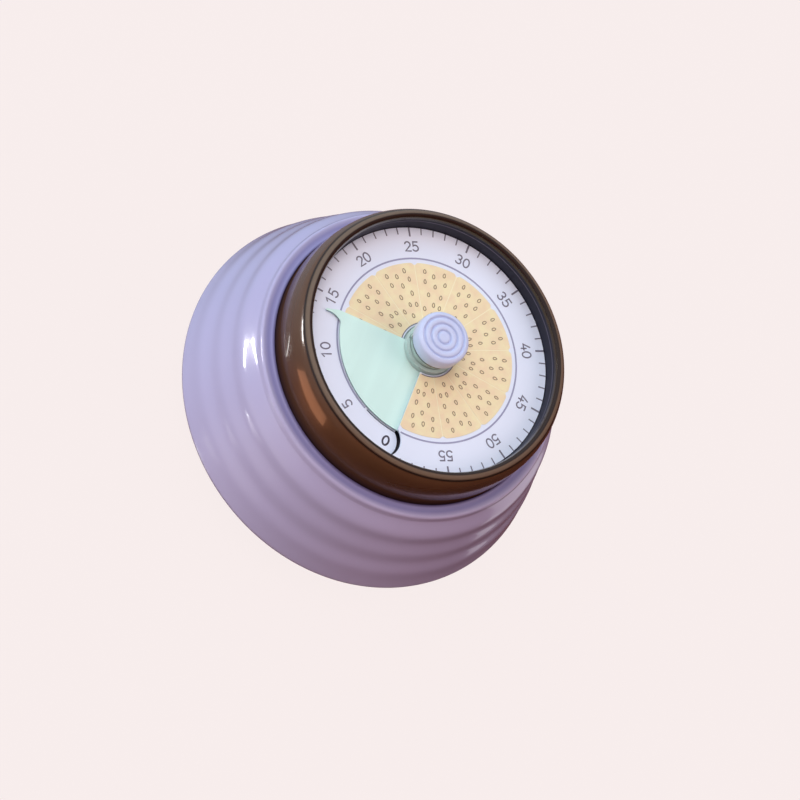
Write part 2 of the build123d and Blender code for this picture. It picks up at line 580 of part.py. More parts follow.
with BuildPart() as mainspring:
    with BuildSketch(Plane.XY.offset(SPRING_BOTTOM_Z)) as spring_strip:
        with BuildLine():
            for start, middle, end in outer_side:
                ThreePointArc(start, middle, end)
            for start, middle, end in inner_side:
                ThreePointArc(start, middle, end)
            Line(outer_side[0][0], inner_side[0][0])
            Polyline(spring_outer_end, (spring_reach, spring_outer_end[1]),
                     (spring_reach, spring_inner_end[1]), spring_inner_end)
        make_face()
    extrude(amount=SPRING_HEIGHT)
mainspring.part.label = "mainspring"
export_step(mainspring.part, "parts/mainspring.step")


# ---------------------------------------------------------------- main wheel with its click
MAIN_WHEEL_Z = BACK_PLATE_Z + 2.0
RATCHET_Z = BACK_PLATE_Z + 3.6
RATCHET_TEETH = 18
RATCHET_ROOT = 4.7
RATCHET_TIP = 5.5
CLICK_ANGLE = 200
CLICK_CENTRE = polar(8.6, CLICK_ANGLE)
CLICK_PIN_RADIUS = 0.6

with BuildPart() as main_wheel:
    with BuildSketch(Plane.XY.offset(MAIN_WHEEL_Z)) as main_outline:
        Polygon(*gear_outline(MAIN_TEETH, MAIN_MODULE, WHEEL_SLIMNESS), align=None)
        Circle(ARBOR_RADIUS + RUNNING_FIT, mode=Mode.SUBTRACT)
    extrude(amount=1.0)
    with BuildSketch(Plane.XY.offset(MAIN_WHEEL_Z + 1.0)) as click_pin:
        with Locations(CLICK_CENTRE):
            Circle(CLICK_PIN_RADIUS)
    extrude(amount=1.8)
main_wheel.part.label = "main_wheel"
export_step(main_wheel.part, "parts/main_wheel.step")

with BuildPart() as ratchet_wheel:
    with BuildSketch(Plane.XY.offset(RATCHET_Z)) as ratchet_outline:
        Polygon(*saw_outline(RATCHET_TEETH, RATCHET_ROOT, RATCHET_TIP), align=None)
        Circle(ARBOR_RADIUS, mode=Mode.SUBTRACT)
    extrude(amount=1.0)
ratchet_wheel.part.label = "ratchet_wheel"
export_step(ratchet_wheel.part, "parts/ratchet_wheel.step")

CLICK_TIP_ANGLE = 245
click_tip = polar(RATCHET_TIP + 0.12, CLICK_TIP_ANGLE)

with BuildPart() as click_pawl:
    with BuildSketch(Plane.XY.offset(RATCHET_Z + 0.1)) as pawl_outline:
        with Locations(CLICK_CENTRE):
            Circle(1.4)
        with BuildLine():
            Polyline(polar(1.2, CLICK_ANGLE + 20, CLICK_CENTRE), polar(7.3, CLICK_TIP_ANGLE - 6),
                     polar(6.2, CLICK_TIP_ANGLE + 5), click_tip,
                     polar(5.9, CLICK_TIP_ANGLE - 22), polar(1.2, CLICK_ANGLE + 200, CLICK_CENTRE),
                     close=True)
        make_face()
        with Locations(CLICK_CENTRE):
            Circle(CLICK_PIN_RADIUS + RUNNING_FIT, mode=Mode.SUBTRACT)
    extrude(amount=0.8)
click_pawl.part.label = "click_pawl"
export_step(click_pawl.part, "parts/click_pawl.step")

with BuildPart() as click_spring:
    with BuildSketch(Plane.XY.offset(MAIN_WHEEL_Z + 1.0)) as leaf_outline:
        with BuildLine():
            CenterArc((0, 0), 9.9, 228, 62)
            CenterArc((0, 0), 10.2, 228, 62)
            Line(polar(9.9, 228), polar(10.2, 228))
            Line(polar(9.9, 290), polar(10.2, 290))
        make_face()
        with Locations(polar(9.9, 290)):
            Circle(0.8)
    extrude(amount=1.3)
click_spring.part.label = "click_spring"
export_step(click_spring.part, "parts/click_spring.step")


# ---------------------------------------------------------------- going train
SECOND_WHEEL_Z = BACK_PLATE_Z + 5.6
THIRD_WHEEL_Z = BACK_PLATE_Z + 8.0
ESCAPE_WHEEL_Z = BACK_PLATE_Z + 10.0
WHEEL_THICKNESS = 0.8
PIVOT_SHOULDER = 0.3      # end play of each arbor between the plates

with BuildPart() as second_arbor:
    with BuildSketch(Plane.XY.offset(BACK_PLATE_Z)) as second_pivots:
        with Locations(SECOND_CENTRE):
            Circle(TRAIN_PIVOT_RADIUS)
    extrude(amount=FRONT_PLATE_Z + MOVEMENT_PLATE - BACK_PLATE_Z)
    with BuildSketch(Plane.XY.offset(BACK_PLATE_Z + MOVEMENT_PLATE + PIVOT_SHOULDER)) as second_stem:
        with Locations(SECOND_CENTRE):
            Circle(0.8)
    extrude(amount=FRONT_PLATE_Z - BACK_PLATE_Z - MOVEMENT_PLATE - 2 * PIVOT_SHOULDER)
    with BuildSketch(Plane.XY.offset(MAIN_WHEEL_Z - 0.5)) as second_leaves:
        leaves = gear_outline(PINION_TEETH, MAIN_MODULE, PINION_SLIMNESS, SECOND_PHASE, SECOND_CENTRE)
        Polygon(*leaves, align=None)
    extrude(amount=2.0)
second_arbor.part.label = "second_arbor"
export_step(second_arbor.part, "parts/second_arbor.step")

with BuildPart() as second_wheel:
    with BuildSketch(Plane.XY.offset(SECOND_WHEEL_Z)) as second_outline:
        Polygon(*gear_outline(WHEEL_TEETH, SECOND_MODULE, WHEEL_SLIMNESS, THIRD_ANGLE, SECOND_CENTRE),
                align=None)
        with Locations(SECOND_CENTRE):
            Circle(0.8, mode=Mode.SUBTRACT)
            with PolarLocations(3.9, 4):
                Circle(1.5, mode=Mode.SUBTRACT)
    extrude(amount=WHEEL_THICKNESS)
second_wheel.part.label = "second_wheel"
export_step(second_wheel.part, "parts/second_wheel.step")

with BuildPart() as third_arbor:
    with BuildSketch(Plane.XY.offset(BACK_PLATE_Z)) as third_pivots:
        with Locations(THIRD_CENTRE):
            Circle(TRAIN_PIVOT_RADIUS)
    extrude(amount=FRONT_PLATE_Z + MOVEMENT_PLATE - BACK_PLATE_Z)
    with BuildSketch(Plane.XY.offset(BACK_PLATE_Z + MOVEMENT_PLATE + PIVOT_SHOULDER)) as third_stem:
        with Locations(THIRD_CENTRE):
            Circle(0.7)
    extrude(amount=FRONT_PLATE_Z - BACK_PLATE_Z - MOVEMENT_PLATE - 2 * PIVOT_SHOULDER)
    with BuildSketch(Plane.XY.offset(SECOND_WHEEL_Z - 0.4)) as third_leaves:
        leaves = gear_outline(PINION_TEETH, SECOND_MODULE, PINION_SLIMNESS,
                              THIRD_PHASE, THIRD_CENTRE)
        Polygon(*leaves, align=None)
    extrude(amount=1.6)
third_arbor.part.label = "third_arbor"
export_step(third_arbor.part, "parts/third_arbor.step")

with BuildPart() as third_wheel:
    with BuildSketch(Plane.XY.offset(THIRD_WHEEL_Z)) as third_outline:
        Polygon(*gear_outline(WHEEL_TEETH, THIRD_MODULE, WHEEL_SLIMNESS, ESCAPE_ANGLE, THIRD_CENTRE),
                align=None)
        with Locations(THIRD_CENTRE):
            Circle(0.7, mode=Mode.SUBTRACT)
            with PolarLocations(3.4, 4):
                Circle(1.3, mode=Mode.SUBTRACT)
    extrude(amount=WHEEL_THICKNESS)
third_wheel.part.label = "third_wheel"
export_step(third_wheel.part, "parts/third_wheel.step")

with BuildPart() as escape_arbor:
    with BuildSketch(Plane.XY.offset(BACK_PLATE_Z)) as escape_pivots:
        with Locations(ESCAPE_CENTRE):
            Circle(TRAIN_PIVOT_RADIUS)
    extrude(amount=FRONT_PLATE_Z + MOVEMENT_PLATE - BACK_PLATE_Z)
    with BuildSketch(Plane.XY.offset(BACK_PLATE_Z + MOVEMENT_PLATE + PIVOT_SHOULDER)) as escape_stem:
        with Locations(ESCAPE_CENTRE):
            Circle(0.7)
    extrude(amount=FRONT_PLATE_Z - BACK_PLATE_Z - MOVEMENT_PLATE - 2 * PIVOT_SHOULDER)
    with BuildSketch(Plane.XY.offset(THIRD_WHEEL_Z - 0.4)) as escape_leaves:
        leaves = gear_outline(PINION_TEETH, THIRD_MODULE, PINION_SLIMNESS,
                              ESCAPE_PHASE, ESCAPE_CENTRE)
        Polygon(*leaves, align=None)
    extrude(amount=1.6)
escape_arbor.part.label = "escape_arbor"
export_step(escape_arbor.part, "parts/escape_arbor.step")

with BuildPart() as escape_wheel:
    with BuildSketch(Plane.XY.offset(ESCAPE_WHEEL_Z)) as escape_outline:
        Polygon(*saw_outline(ESCAPE_TEETH, ESCAPE_TIP - 1.0, ESCAPE_TIP, ESCAPE_CENTRE), align=None)
        with Locations(ESCAPE_CENTRE):
            Circle(0.7, mode=Mode.SUBTRACT)
    extrude(amount=WHEEL_THICKNESS)
escape_wheel.part.label = "escape_wheel"
export_step(escape_wheel.part, "parts/escape_wheel.step")

PALLET_PIN_RADIUS = 0.3
PALLET_PIN_CIRCLE = ESCAPE_TIP + 0.75
pallet_pins = []
for pin_side in (-35, 35):
    pallet_pins.append(polar(PALLET_PIN_CIRCLE, PALLET_ANGLE + pin_side, ESCAPE_CENTRE))
pallet_weight = polar(5.0, PALLET_ANGLE, PALLET_CENTRE)
LEVER_Z = ESCAPE_WHEEL_Z + WHEEL_THICKNESS + 0.4

with BuildPart() as pallet_lever:
    with BuildSketch(Plane.XY.offset(BACK_PLATE_Z)) as pallet_pivots:
        with Locations(PALLET_CENTRE):
            Circle(TRAIN_PIVOT_RADIUS)
    extrude(amount=FRONT_PLATE_Z + MOVEMENT_PLATE - BACK_PLATE_Z)
    with BuildSketch(Plane.XY.offset(LEVER_Z)) as lever_outline:
        with Locations(PALLET_CENTRE):
            Circle(1.3)
        for arm_end in (*pallet_pins, pallet_weight):
            with BuildLine() as arm_line:
                Line(PALLET_CENTRE, arm_end)
            trace(line_width=1.0)
        with Locations(*pallet_pins):
            Circle(0.6)
        with Locations(pallet_weight):
            Circle(1.5)
    extrude(amount=WHEEL_THICKNESS)
    with BuildSketch(Plane.XY.offset(ESCAPE_WHEEL_Z - 0.2)) as pin_outline:
        with Locations(*pallet_pins):
            Circle(PALLET_PIN_RADIUS)
    extrude(amount=LEVER_Z - ESCAPE_WHEEL_Z + 0.2)
pallet_lever.part.label = "pallet_lever"
export_step(pallet_lever.part, "parts/pallet_lever.step")


# ---------------------------------------------------------------- alarm: trip lever, hammer and bell
trip_foot = (-CAM_RADIUS - 0.75, -0.2)
trip_tail = (-11.5, 13.0)

with BuildPart() as trip_lever:
    with BuildSketch(Plane.XY.offset(CAM_BOTTOM_Z)) as trip_outline:
        with BuildLine() as trip_line:
            Line(trip_foot, TRIP_CENTRE)
            Line(TRIP_CENTRE, trip_tail)
        trace(line_width=1.1)
        with Locations(TRIP_CENTRE):
            Circle(1.5)
        with Locations(trip_foot):
            Circle(0.6)
        with Locations(trip_tail):
            Circle(0.9)
        with Locations(TRIP_CENTRE):
            Circle(TRIP_STUD_RADIUS + RUNNING_FIT, mode=Mode.SUBTRACT)
    extrude(amount=CAM_THICKNESS)
trip_lever.part.label = "trip_lever"
export_step(trip_lever.part, "parts/trip_lever.step")

with BuildPart() as trip_stud:
    with BuildSketch(Plane.XY.offset(CAM_BOTTOM_Z)):
        with Locations(TRIP_CENTRE):
            Circle(TRIP_STUD_RADIUS)
    extrude(amount=FRONT_PLATE_Z + MOVEMENT_PLATE - CAM_BOTTOM_Z)
    with BuildSketch(Plane.XY.offset(CAM_BOTTOM_Z - 0.5)):
        with Locations(TRIP_CENTRE):
            Circle(1.2)
    extrude(amount=0.4)
    with BuildSketch(Plane.XY.offset(CAM_BOTTOM_Z - 0.1)):
        with Locations(TRIP_CENTRE):
            Circle(TRIP_STUD_RADIUS)
    extrude(amount=0.1)
trip_stud.part.label = "trip_stud"
export_step(trip_stud.part, "parts/trip_stud.step")

with BuildPart() as bell:
    with BuildSketch(Plane.XZ.offset(-BELL_CENTRE[1])) as bell_profile:
        with BuildLine():
            Polyline((BELL_CENTRE[0] + 1.3, BELL_BOTTOM_Z + BELL_WALL), (BELL_CENTRE[0] + 1.3, BELL_BOTTOM_Z),
                     (BELL_CENTRE[0] + 9.0, BELL_BOTTOM_Z))
            ThreePointArc((BELL_CENTRE[0] + 9.0, BELL_BOTTOM_Z),
                          (BELL_CENTRE[0] + 13.3, BELL_BOTTOM_Z + 1.38),
                          (BELL_CENTRE[0] + BELL_RADIUS, BELL_BOTTOM_Z + 5.0))
            Polyline((BELL_CENTRE[0] + BELL_RADIUS, BELL_BOTTOM_Z + 5.0),
                     (BELL_CENTRE[0] + BELL_RADIUS, BELL_RIM_Z),
                     (BELL_CENTRE[0] + BELL_RADIUS - BELL_WALL, BELL_RIM_Z),
                     (BELL_CENTRE[0] + BELL_RADIUS - BELL_WALL, BELL_BOTTOM_Z + 5.0))
            ThreePointArc((BELL_CENTRE[0] + BELL_RADIUS - BELL_WALL, BELL_BOTTOM_Z + 5.0),
                          (BELL_CENTRE[0] + 12.85, BELL_BOTTOM_Z + 2.02),
                          (BELL_CENTRE[0] + 9.0, BELL_BOTTOM_Z + BELL_WALL))
            Line((BELL_CENTRE[0] + 9.0, BELL_BOTTOM_Z + BELL_WALL),
                 (BELL_CENTRE[0] + 1.3, BELL_BOTTOM_Z + BELL_WALL))
        make_face()
    revolve(axis=Axis((BELL_CENTRE[0], BELL_CENTRE[1], 0), (0, 0, 1)))
bell.part.label = "bell"
export_step(bell.part, "parts/bell.step")

with BuildPart() as bell_post:
    with BuildSketch(Plane.XY.offset(BELL_BOTTOM_Z + BELL_WALL)):
        with Locations(BELL_CENTRE):
            Circle(2.2)
    extrude(amount=BACK_PLATE_Z - BELL_BOTTOM_Z - BELL_WALL)
    with BuildSketch(Plane.XY.offset(BACK_PLATE_Z)):
        with Locations(BELL_CENTRE):
            Circle(1.2)
    extrude(amount=MOVEMENT_PLATE)
    with BuildSketch(Plane.XY.offset(BELL_BOTTOM_Z + BELL_WALL)):
        with Locations(BELL_CENTRE):
            Circle(1.2)
    extrude(amount=5.0, mode=Mode.SUBTRACT)
bell_post.part.label = "bell_post"
export_step(bell_post.part, "parts/bell_post.step")

with BuildPart() as bell_screw:
    with BuildSketch(Plane.XY.offset(BELL_BOTTOM_Z - 1.1)):
        with Locations(BELL_CENTRE):
            Circle(2.4)
    extrude(amount=1.1)
    with BuildSketch(Plane.XY.offset(BELL_BOTTOM_Z)):
        with Locations(BELL_CENTRE):
            Circle(1.2)
    extrude(amount=5.0)
    with BuildSketch(Plane.XY.offset(BELL_BOTTOM_Z - 1.1)):
        with Locations(BELL_CENTRE):
            Rectangle(5.0, 0.6)
    extrude(amount=0.6, mode=Mode.SUBTRACT)
bell_screw.part.label = "bell_screw"
export_step(bell_screw.part, "parts/bell_screw.step")

HAMMER_REST_ANGLE = 75
HAMMER_HUB_Z = BACK_PLATE_Z - 4.4
hammer_head = polar(10.0, HAMMER_REST_ANGLE, HAMMER_CENTRE)
hammer_tail = polar(3.6, HAMMER_REST_ANGLE + 180, HAMMER_CENTRE)

with BuildPart() as hammer:
    with BuildSketch(Plane.XY.offset(HAMMER_HUB_Z + 0.5)) as hammer_arm:
        with BuildLine() as arm_axis:
            Line(hammer_tail, hammer_head)
        trace(line_width=1.4)
        with Locations(HAMMER_CENTRE):
            Circle(HAMMER_STUD_RADIUS, mode=Mode.SUBTRACT)
    extrude(amount=0.8)
    with BuildSketch(Plane.XY.offset(HAMMER_HUB_Z)) as hammer_hub:
        with Locations(HAMMER_CENTRE):
            Circle(1.8)
    extrude(amount=1.6)
    with BuildSketch(Plane.XY.offset(HAMMER_HUB_Z)) as hammer_bore:
        with Locations(HAMMER_CENTRE):
            Circle(HAMMER_STUD_RADIUS + RUNNING_FIT)
    extrude(amount=1.6, mode=Mode.SUBTRACT)
    with BuildSketch(Plane.XY.offset(HAMMER_HUB_Z - 0.6)) as hammer_weight:
        with Locations(hammer_head):
            Circle(1.4)
    extrude(amount=3.0)
hammer.part.label = "hammer"
export_step(hammer.part, "parts/hammer.step")

with BuildPart() as hammer_stud:
    with BuildSketch(Plane.XY.offset(HAMMER_HUB_Z - 0.2)):
        with Locations(HAMMER_CENTRE):
            Circle(HAMMER_STUD_RADIUS)
    extrude(amount=BACK_PLATE_Z - HAMMER_HUB_Z + 0.2)
    with BuildSketch(Plane.XY.offset(HAMMER_HUB_Z - 0.9)):
        with Locations(HAMMER_CENTRE):
            Circle(1.7)
    extrude(amount=0.7)
    with BuildSketch(Plane.XY.offset(BACK_PLATE_Z)):
        with Locations(HAMMER_CENTRE):
            Circle(0.7)
    extrude(amount=MOVEMENT_PLATE)
hammer_stud.part.label = "hammer_stud"
export_step(hammer_stud.part, "parts/hammer_stud.step")

COIL_RADIUS = 1.35
COIL_WIRE = 0.2
COIL_BOTTOM_Z = BACK_PLATE_Z - 2.45
COIL_PITCH = 0.48
COIL_TURNS = 4

with BuildPart() as hammer_spring:
    with BuildLine() as coil_line:
        coil_path = Helix(COIL_PITCH, COIL_PITCH * COIL_TURNS, COIL_RADIUS,
                          center=(HAMMER_CENTRE[0], HAMMER_CENTRE[1], COIL_BOTTOM_Z))
    with BuildSketch(Plane(coil_path @ 0, z_dir=coil_path % 0)):
        Circle(COIL_WIRE)
    sweep(path=coil_line.wires()[0], is_frenet=True)
hammer_spring.part.label = "hammer_spring"
export_step(hammer_spring.part, "parts/hammer_spring.step")
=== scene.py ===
"""Look of the wind-up kitchen timer: finer skins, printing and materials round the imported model."""
import json
import math
import random

import bmesh
import bpy
from mathutils import Matrix, Vector


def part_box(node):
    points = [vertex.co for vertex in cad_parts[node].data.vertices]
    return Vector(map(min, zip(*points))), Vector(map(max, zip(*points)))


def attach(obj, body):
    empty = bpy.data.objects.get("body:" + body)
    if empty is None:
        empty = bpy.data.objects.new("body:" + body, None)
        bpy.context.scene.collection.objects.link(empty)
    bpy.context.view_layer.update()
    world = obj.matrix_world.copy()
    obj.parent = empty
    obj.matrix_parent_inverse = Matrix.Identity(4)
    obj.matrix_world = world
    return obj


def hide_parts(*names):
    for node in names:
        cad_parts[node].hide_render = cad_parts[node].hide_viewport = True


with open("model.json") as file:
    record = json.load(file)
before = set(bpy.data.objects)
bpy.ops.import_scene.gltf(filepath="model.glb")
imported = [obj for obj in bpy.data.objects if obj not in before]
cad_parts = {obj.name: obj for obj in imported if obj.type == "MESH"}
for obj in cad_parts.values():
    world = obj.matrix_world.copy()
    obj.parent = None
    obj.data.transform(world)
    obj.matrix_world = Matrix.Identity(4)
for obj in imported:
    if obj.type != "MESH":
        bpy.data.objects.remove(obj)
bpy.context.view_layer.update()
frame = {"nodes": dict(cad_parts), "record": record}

MM = 0.001
nodes = frame["nodes"]

# ---------------------------------------------------------------- driving sizes, in millimetres
RAMP_PITCH = 1.3          # rise of the dial in one turn
DIAL_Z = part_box("dial_plate")[1].z / MM - RAMP_PITCH / 2
CASE_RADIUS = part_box("body_shell")[1].x / MM
COVER_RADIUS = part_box("back_cover")[1].x / MM
COVER_BOTTOM_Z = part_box("back_cover")[0].z / MM
COVER_TOP_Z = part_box("back_cover")[1].z / MM
BEZEL_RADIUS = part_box("bezel")[1].x / MM
BEZEL_TOP_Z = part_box("bezel")[1].z / MM
BEZEL_BOTTOM_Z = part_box("bezel")[0].z / MM
CAP_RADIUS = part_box("knob_cap")[1].x / MM
CAP_BOTTOM_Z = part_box("knob_cap")[0].z / MM
CAP_TOP_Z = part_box("knob_cap")[1].z / MM

SEGMENTS = 288            # steps round a turned piece
SHARP_ANGLE = 35          # edges above this many degrees stay sharp
DEGREES_PER_MINUTE = 6
INK_HEIGHT = 0.03         # thickness of one printed film
BASE_LAYER = 0.0          # height of a film's underside above the dial face
WEDGE_LAYER = INK_HEIGHT
TOP_LAYER = 2 * INK_HEIGHT
LATHE_WELD = 1e-7         # metres; nearer points become one
FILM_WELD = 1e-8


# ---------------------------------------------------------------- mesh helpers
def new_piece(name, mesh, body, material, replaced=()):
    """Links a mesh as a smooth piece that rides on a body."""
    piece = bpy.data.objects.new(name, mesh)
    bpy.context.scene.collection.objects.link(piece)
    mesh.polygons.foreach_set("use_smooth", [True] * len(mesh.polygons))
    mesh.set_sharp_from_angle(angle=math.radians(SHARP_ANGLE))
    mesh.materials.append(material)
    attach(piece, body)
    if replaced:
        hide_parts(*replaced)


def bezier(start, first, second, end, steps=16):
    """Points of a cubic curve in a profile, without its last point."""
    points = []
    for step in range(steps):
        t = step / steps
        weights = ((1 - t) ** 3, 3 * t * (1 - t) ** 2, 3 * t * t * (1 - t), t ** 3)
        corners = (start, first, second, end)
        points.append(tuple(sum(w * c[axis] for w, c in zip(weights, corners)) for axis in (0, 1)))
    return points


def smooth_run(knots, steps=10):
    """Points of a smooth curve through the knots, without the last knot."""
    points = []
    for index in range(len(knots) - 1):
        here, there = Vector(knots[index]), Vector(knots[index + 1])
        before = Vector(knots[index - 1]) if index else 2 * here - there
        after = Vector(knots[index + 2]) if index + 2 < len(knots) else 2 * there - here
        reach = (there - here).length
        leave = (there - before) * reach / ((there - here).length + (here - before).length)
        arrive = (after - here) * reach / ((after - there).length + (there - here).length)
        points += bezier(here, here + leave / 3, there - arrive / 3, there, steps)
    return points


def lathe_mesh(name, outline, segments=SEGMENTS):
    """Closed surface of revolution about Z; outline is a loop of (radius, height) in millimetres."""
    mesh = bpy.data.meshes.new(name)
    work = bmesh.new()
    rings = []
    for index in range(segments):
        turn = 2 * math.pi * index / segments
        across, along = math.cos(turn) * MM, math.sin(turn) * MM
        rings.append([work.verts.new((r * across, r * along, z * MM)) for r, z in outline])
    count = len(outline)
    for index in range(segments):
        ring, following = rings[index], rings[(index + 1) % segments]
        for step in range(count):
            other = (step + 1) % count
            if outline[step][0] == 0 and outline[other][0] == 0:
                continue
            work.faces.new((ring[step], following[step], following[other], ring[other]))
    bmesh.ops.remove_doubles(work, verts=work.verts, dist=LATHE_WELD)
    bmesh.ops.recalc_face_normals(work, faces=work.faces)
    work.to_mesh(mesh)
    work.free()
    return mesh


def ramp_z(degrees):
    """Height of the dial face at an angle clockwise from the 0 line."""
    return DIAL_Z + RAMP_PITCH * (degrees / 360 - 0.5)


def on_dial(radius, degrees, lift):
    """Point on the dial face, in metres, at an angle clockwise from the 0 line."""
    turn = math.radians(90 - degrees)
    return Vector((radius * math.cos(turn), radius * math.sin(turn), ramp_z(degrees) + lift)) * MM


def film(name, sheets, lift):
    """Thin closed solids on the dial; each sheet is a grid of (radius, degrees) rows.

    A sheet whose last row is its first one again becomes a ring, without end walls.
    """
    mesh = bpy.data.meshes.new(name)
    work = bmesh.new()
    for rows in sheets:
        last_row, last_column = len(rows) - 1, len(rows[0]) - 1
        low = [[work.verts.new(on_dial(r, a, lift)) for r, a in row] for row in rows]
        high = [[work.verts.new(on_dial(r, a, lift + INK_HEIGHT)) for r, a in row] for row in rows]
        for i in range(last_row):
            for j in range(last_column):
                work.faces.new((high[i][j], high[i + 1][j], high[i + 1][j + 1], high[i][j + 1]))
                work.faces.new((low[i][j], low[i][j + 1], low[i + 1][j + 1], low[i + 1][j]))
        rim = [(i, 0) for i in range(last_row)] + [(last_row, j) for j in range(last_column)]
        rim += [(i, last_column) for i in range(last_row, 0, -1)]
        rim += [(0, j) for j in range(last_column, 0, -1)]
        for (i, j), (k, m) in zip(rim, rim[1:] + rim[:1]):
            work.faces.new((high[i][j], high[k][m], low[k][m], low[i][j]))
    bmesh.ops.remove_doubles(work, verts=work.verts, dist=FILM_WELD)
    seams = [face for face in work.faces if sum(len(edge.link_faces) > 2 for edge in face.edges) > 1]
    bmesh.ops.delete(work, geom=seams, context="FACES")
    bmesh.ops.recalc_face_normals(work, faces=work.faces)
    work.to_mesh(mesh)
    work.free()
    return mesh


# ---------------------------------------------------------------- material helpers
FLOW_SCALE = 60           # cells per metre of the flow marks in moulded plastic
POLISH_SCALE = 240        # cells per metre of the uneven polish
COAT_ROUGHNESS = 0.04
FAR = 60                  # a size beyond every surface, in millimetres, for an open-ended band


class Shader:
    """Short way to build a node material round one Principled shader."""

    def __init__(self, name):
        self.material = bpy.data.materials.new(name)
        self.material.use_nodes = True
        self.tree = self.material.node_tree
        self.surface = self.tree.nodes["Principled BSDF"]
        self.place = self.add("ShaderNodeTexCoord").outputs["Object"]

    def add(self, kind, **settings):
        """New node of a kind, with its settings."""
        node = self.tree.nodes.new(kind)
        for key, value in settings.items():
            setattr(node, key, value)
        return node

    def link(self, source, target):
        """Joins an output to an input."""
        self.tree.links.new(source, target)

    def set(self, **values):
        """Sets the surface's own sockets; a name's underscores stand for spaces."""
        for key, value in values.items():
            self.surface.inputs[key.replace("_", " ")].default_value = value

    def noise(self, scale, detail=3.0, stretch=(1, 1, 1)):
        """Noise in the frame's own space; scale is in cells per metre."""
        mapping = self.add("ShaderNodeMapping")
        mapping.inputs["Scale"].default_value = stretch
        self.link(self.place, mapping.inputs["Vector"])
        noise = self.add("ShaderNodeTexNoise")
        noise.inputs["Scale"].default_value = scale
        noise.inputs["Detail"].default_value = detail
        self.link(mapping.outputs["Vector"], noise.inputs["Vector"])
        return noise.outputs["Fac"]

    def spread(self, value, low, high, floor=0.0, roof=1.0):
        """Maps low..high of a value to floor..roof."""
        node = self.add("ShaderNodeMapRange")
        for key, number in zip(("From Min", "From Max", "To Min", "To Max"), (low, high, floor, roof)):
            node.inputs[key].default_value = number
        self.link(value, node.inputs["Value"])
        return node.outputs["Result"]

    def mix(self, factor, first, second):
        """Colour between two colours or sockets."""
        node = self.add("ShaderNodeMix", data_type="RGBA")
        self.link(factor, node.inputs["Factor"])
        for slot, colour in ((6, first), (7, second)):
            if isinstance(colour, tuple):
                node.inputs[slot].default_value = colour
            else:
                self.link(colour, node.inputs[slot])
        return node.outputs[2]

    def radius(self):
        """Distance from the Z axis, in metres."""
        parts = self.add("ShaderNodeSeparateXYZ")
        flat = self.add("ShaderNodeCombineXYZ")
        self.link(self.place, parts.inputs["Vector"])
        self.link(parts.outputs["X"], flat.inputs["X"])
        self.link(parts.outputs["Y"], flat.inputs["Y"])
        length = self.add("ShaderNodeVectorMath", operation="LENGTH")
        self.link(flat.outputs["Vector"], length.inputs[0])
        return length.outputs["Value"]

    def height(self):
        """Height above the back face, in metres."""
        parts = self.add("ShaderNodeSeparateXYZ")
        self.link(self.place, parts.inputs["Vector"])
        return parts.outputs["Z"]

    def both(self, first, second):
        """Product of two masks."""
        node = self.add("ShaderNodeMath", operation="MULTIPLY")
        self.link(first, node.inputs[0])
        self.link(second, node.inputs[1])
        return node.outputs["Value"]

    def fade_out(self, value, low, high):
        """Mask that falls from 1 to 0 between two sizes in millimetres."""
        return self.spread(value, low * MM, high * MM, 1.0, 0.0)

    def band(self, value, low, high, soft=0.06):
        """Mask that is 1 between two sizes in millimetres."""
        rise = self.spread(value, (low - soft) * MM, (low + soft) * MM)
        fall = self.fade_out(value, high - soft, high + soft)
        return self.both(rise, fall)

    def mottle(self, colour, amount, scale):
        """Base colour that wanders a little over the surface."""
        dark = tuple(c * (1 - amount) for c in colour[:3]) + (1,)
        light = tuple(min(c * (1 + amount), 1) for c in colour[:3]) + (1,)
        fade = self.spread(self.noise(scale), 0.3, 0.7)
        return self.mix(fade, dark, light)

    def roughen(self, low, high, scale, stretch=(1, 1, 1)):
        """Roughness that wanders between two values."""
        self.link(self.spread(self.noise(scale, 4.0, stretch), 0.3, 0.7, low, high),
                  self.surface.inputs["Roughness"])

    def bump(self, height, distance, strength):
        """Relief of at most a distance in metres."""
        node = self.add("ShaderNodeBump")
        node.inputs["Strength"].default_value = strength
        node.inputs["Distance"].default_value = distance
        self.link(height, node.inputs["Height"])
        self.link(node.outputs["Normal"], self.surface.inputs["Normal"])

    def fine_skin(self):
        """The faint skin of moulded plastic and of print on it."""
        self.bump(self.noise(900, 2.0), 0.000004, 0.35)

    def colour(self, socket):
        """Base colour from a socket."""
        self.link(socket, self.surface.inputs["Base Color"])


def srgb(red, green, blue):
    """Linear colour from 0..255 screen values."""
    def channel(value):
        value /= 255
        return value / 12.92 if value <= 0.04045 else ((value + 0.055) / 1.055) ** 2.4
    return (channel(red), channel(green), channel(blue), 1)


def moulded(name, colour, rough, gloss_coat=0.0):
    """Moulded plastic or print: faint flow marks in the colour, uneven polish and a fine skin."""
    shader = Shader(name)
    shader.colour(shader.mottle(colour, 0.02, FLOW_SCALE))
    shader.roughen(rough * 0.85, rough * 1.2, POLISH_SCALE)
    shader.set(IOR=1.5, Coat_Weight=gloss_coat, Coat_Roughness=COAT_ROUGHNESS)
    shader.fine_skin()
    return shader.material


def metal(name, colour, rough, stretch=(1, 1, 40)):
    """Cut metal with fine tool marks along one direction."""
    shader = Shader(name)
    shader.colour(shader.mottle(colour, 0.06, 300))
    shader.roughen(rough * 0.75, rough * 1.3, 500, stretch)
    shader.set(Metallic=1.0)
    shader.bump(shader.noise(2500, 2.0, stretch), 0.000006, 0.5)
    return shader.material


def rubber(name, colour):
    """Matt rubber with a sandy skin."""
    shader = Shader(name)
    shader.colour(shader.mottle(colour, 0.15, 400))
    shader.roughen(0.7, 0.9, 600)
    shader.bump(shader.noise(6000, 3.0), 0.00004, 0.6)
    return shader.material


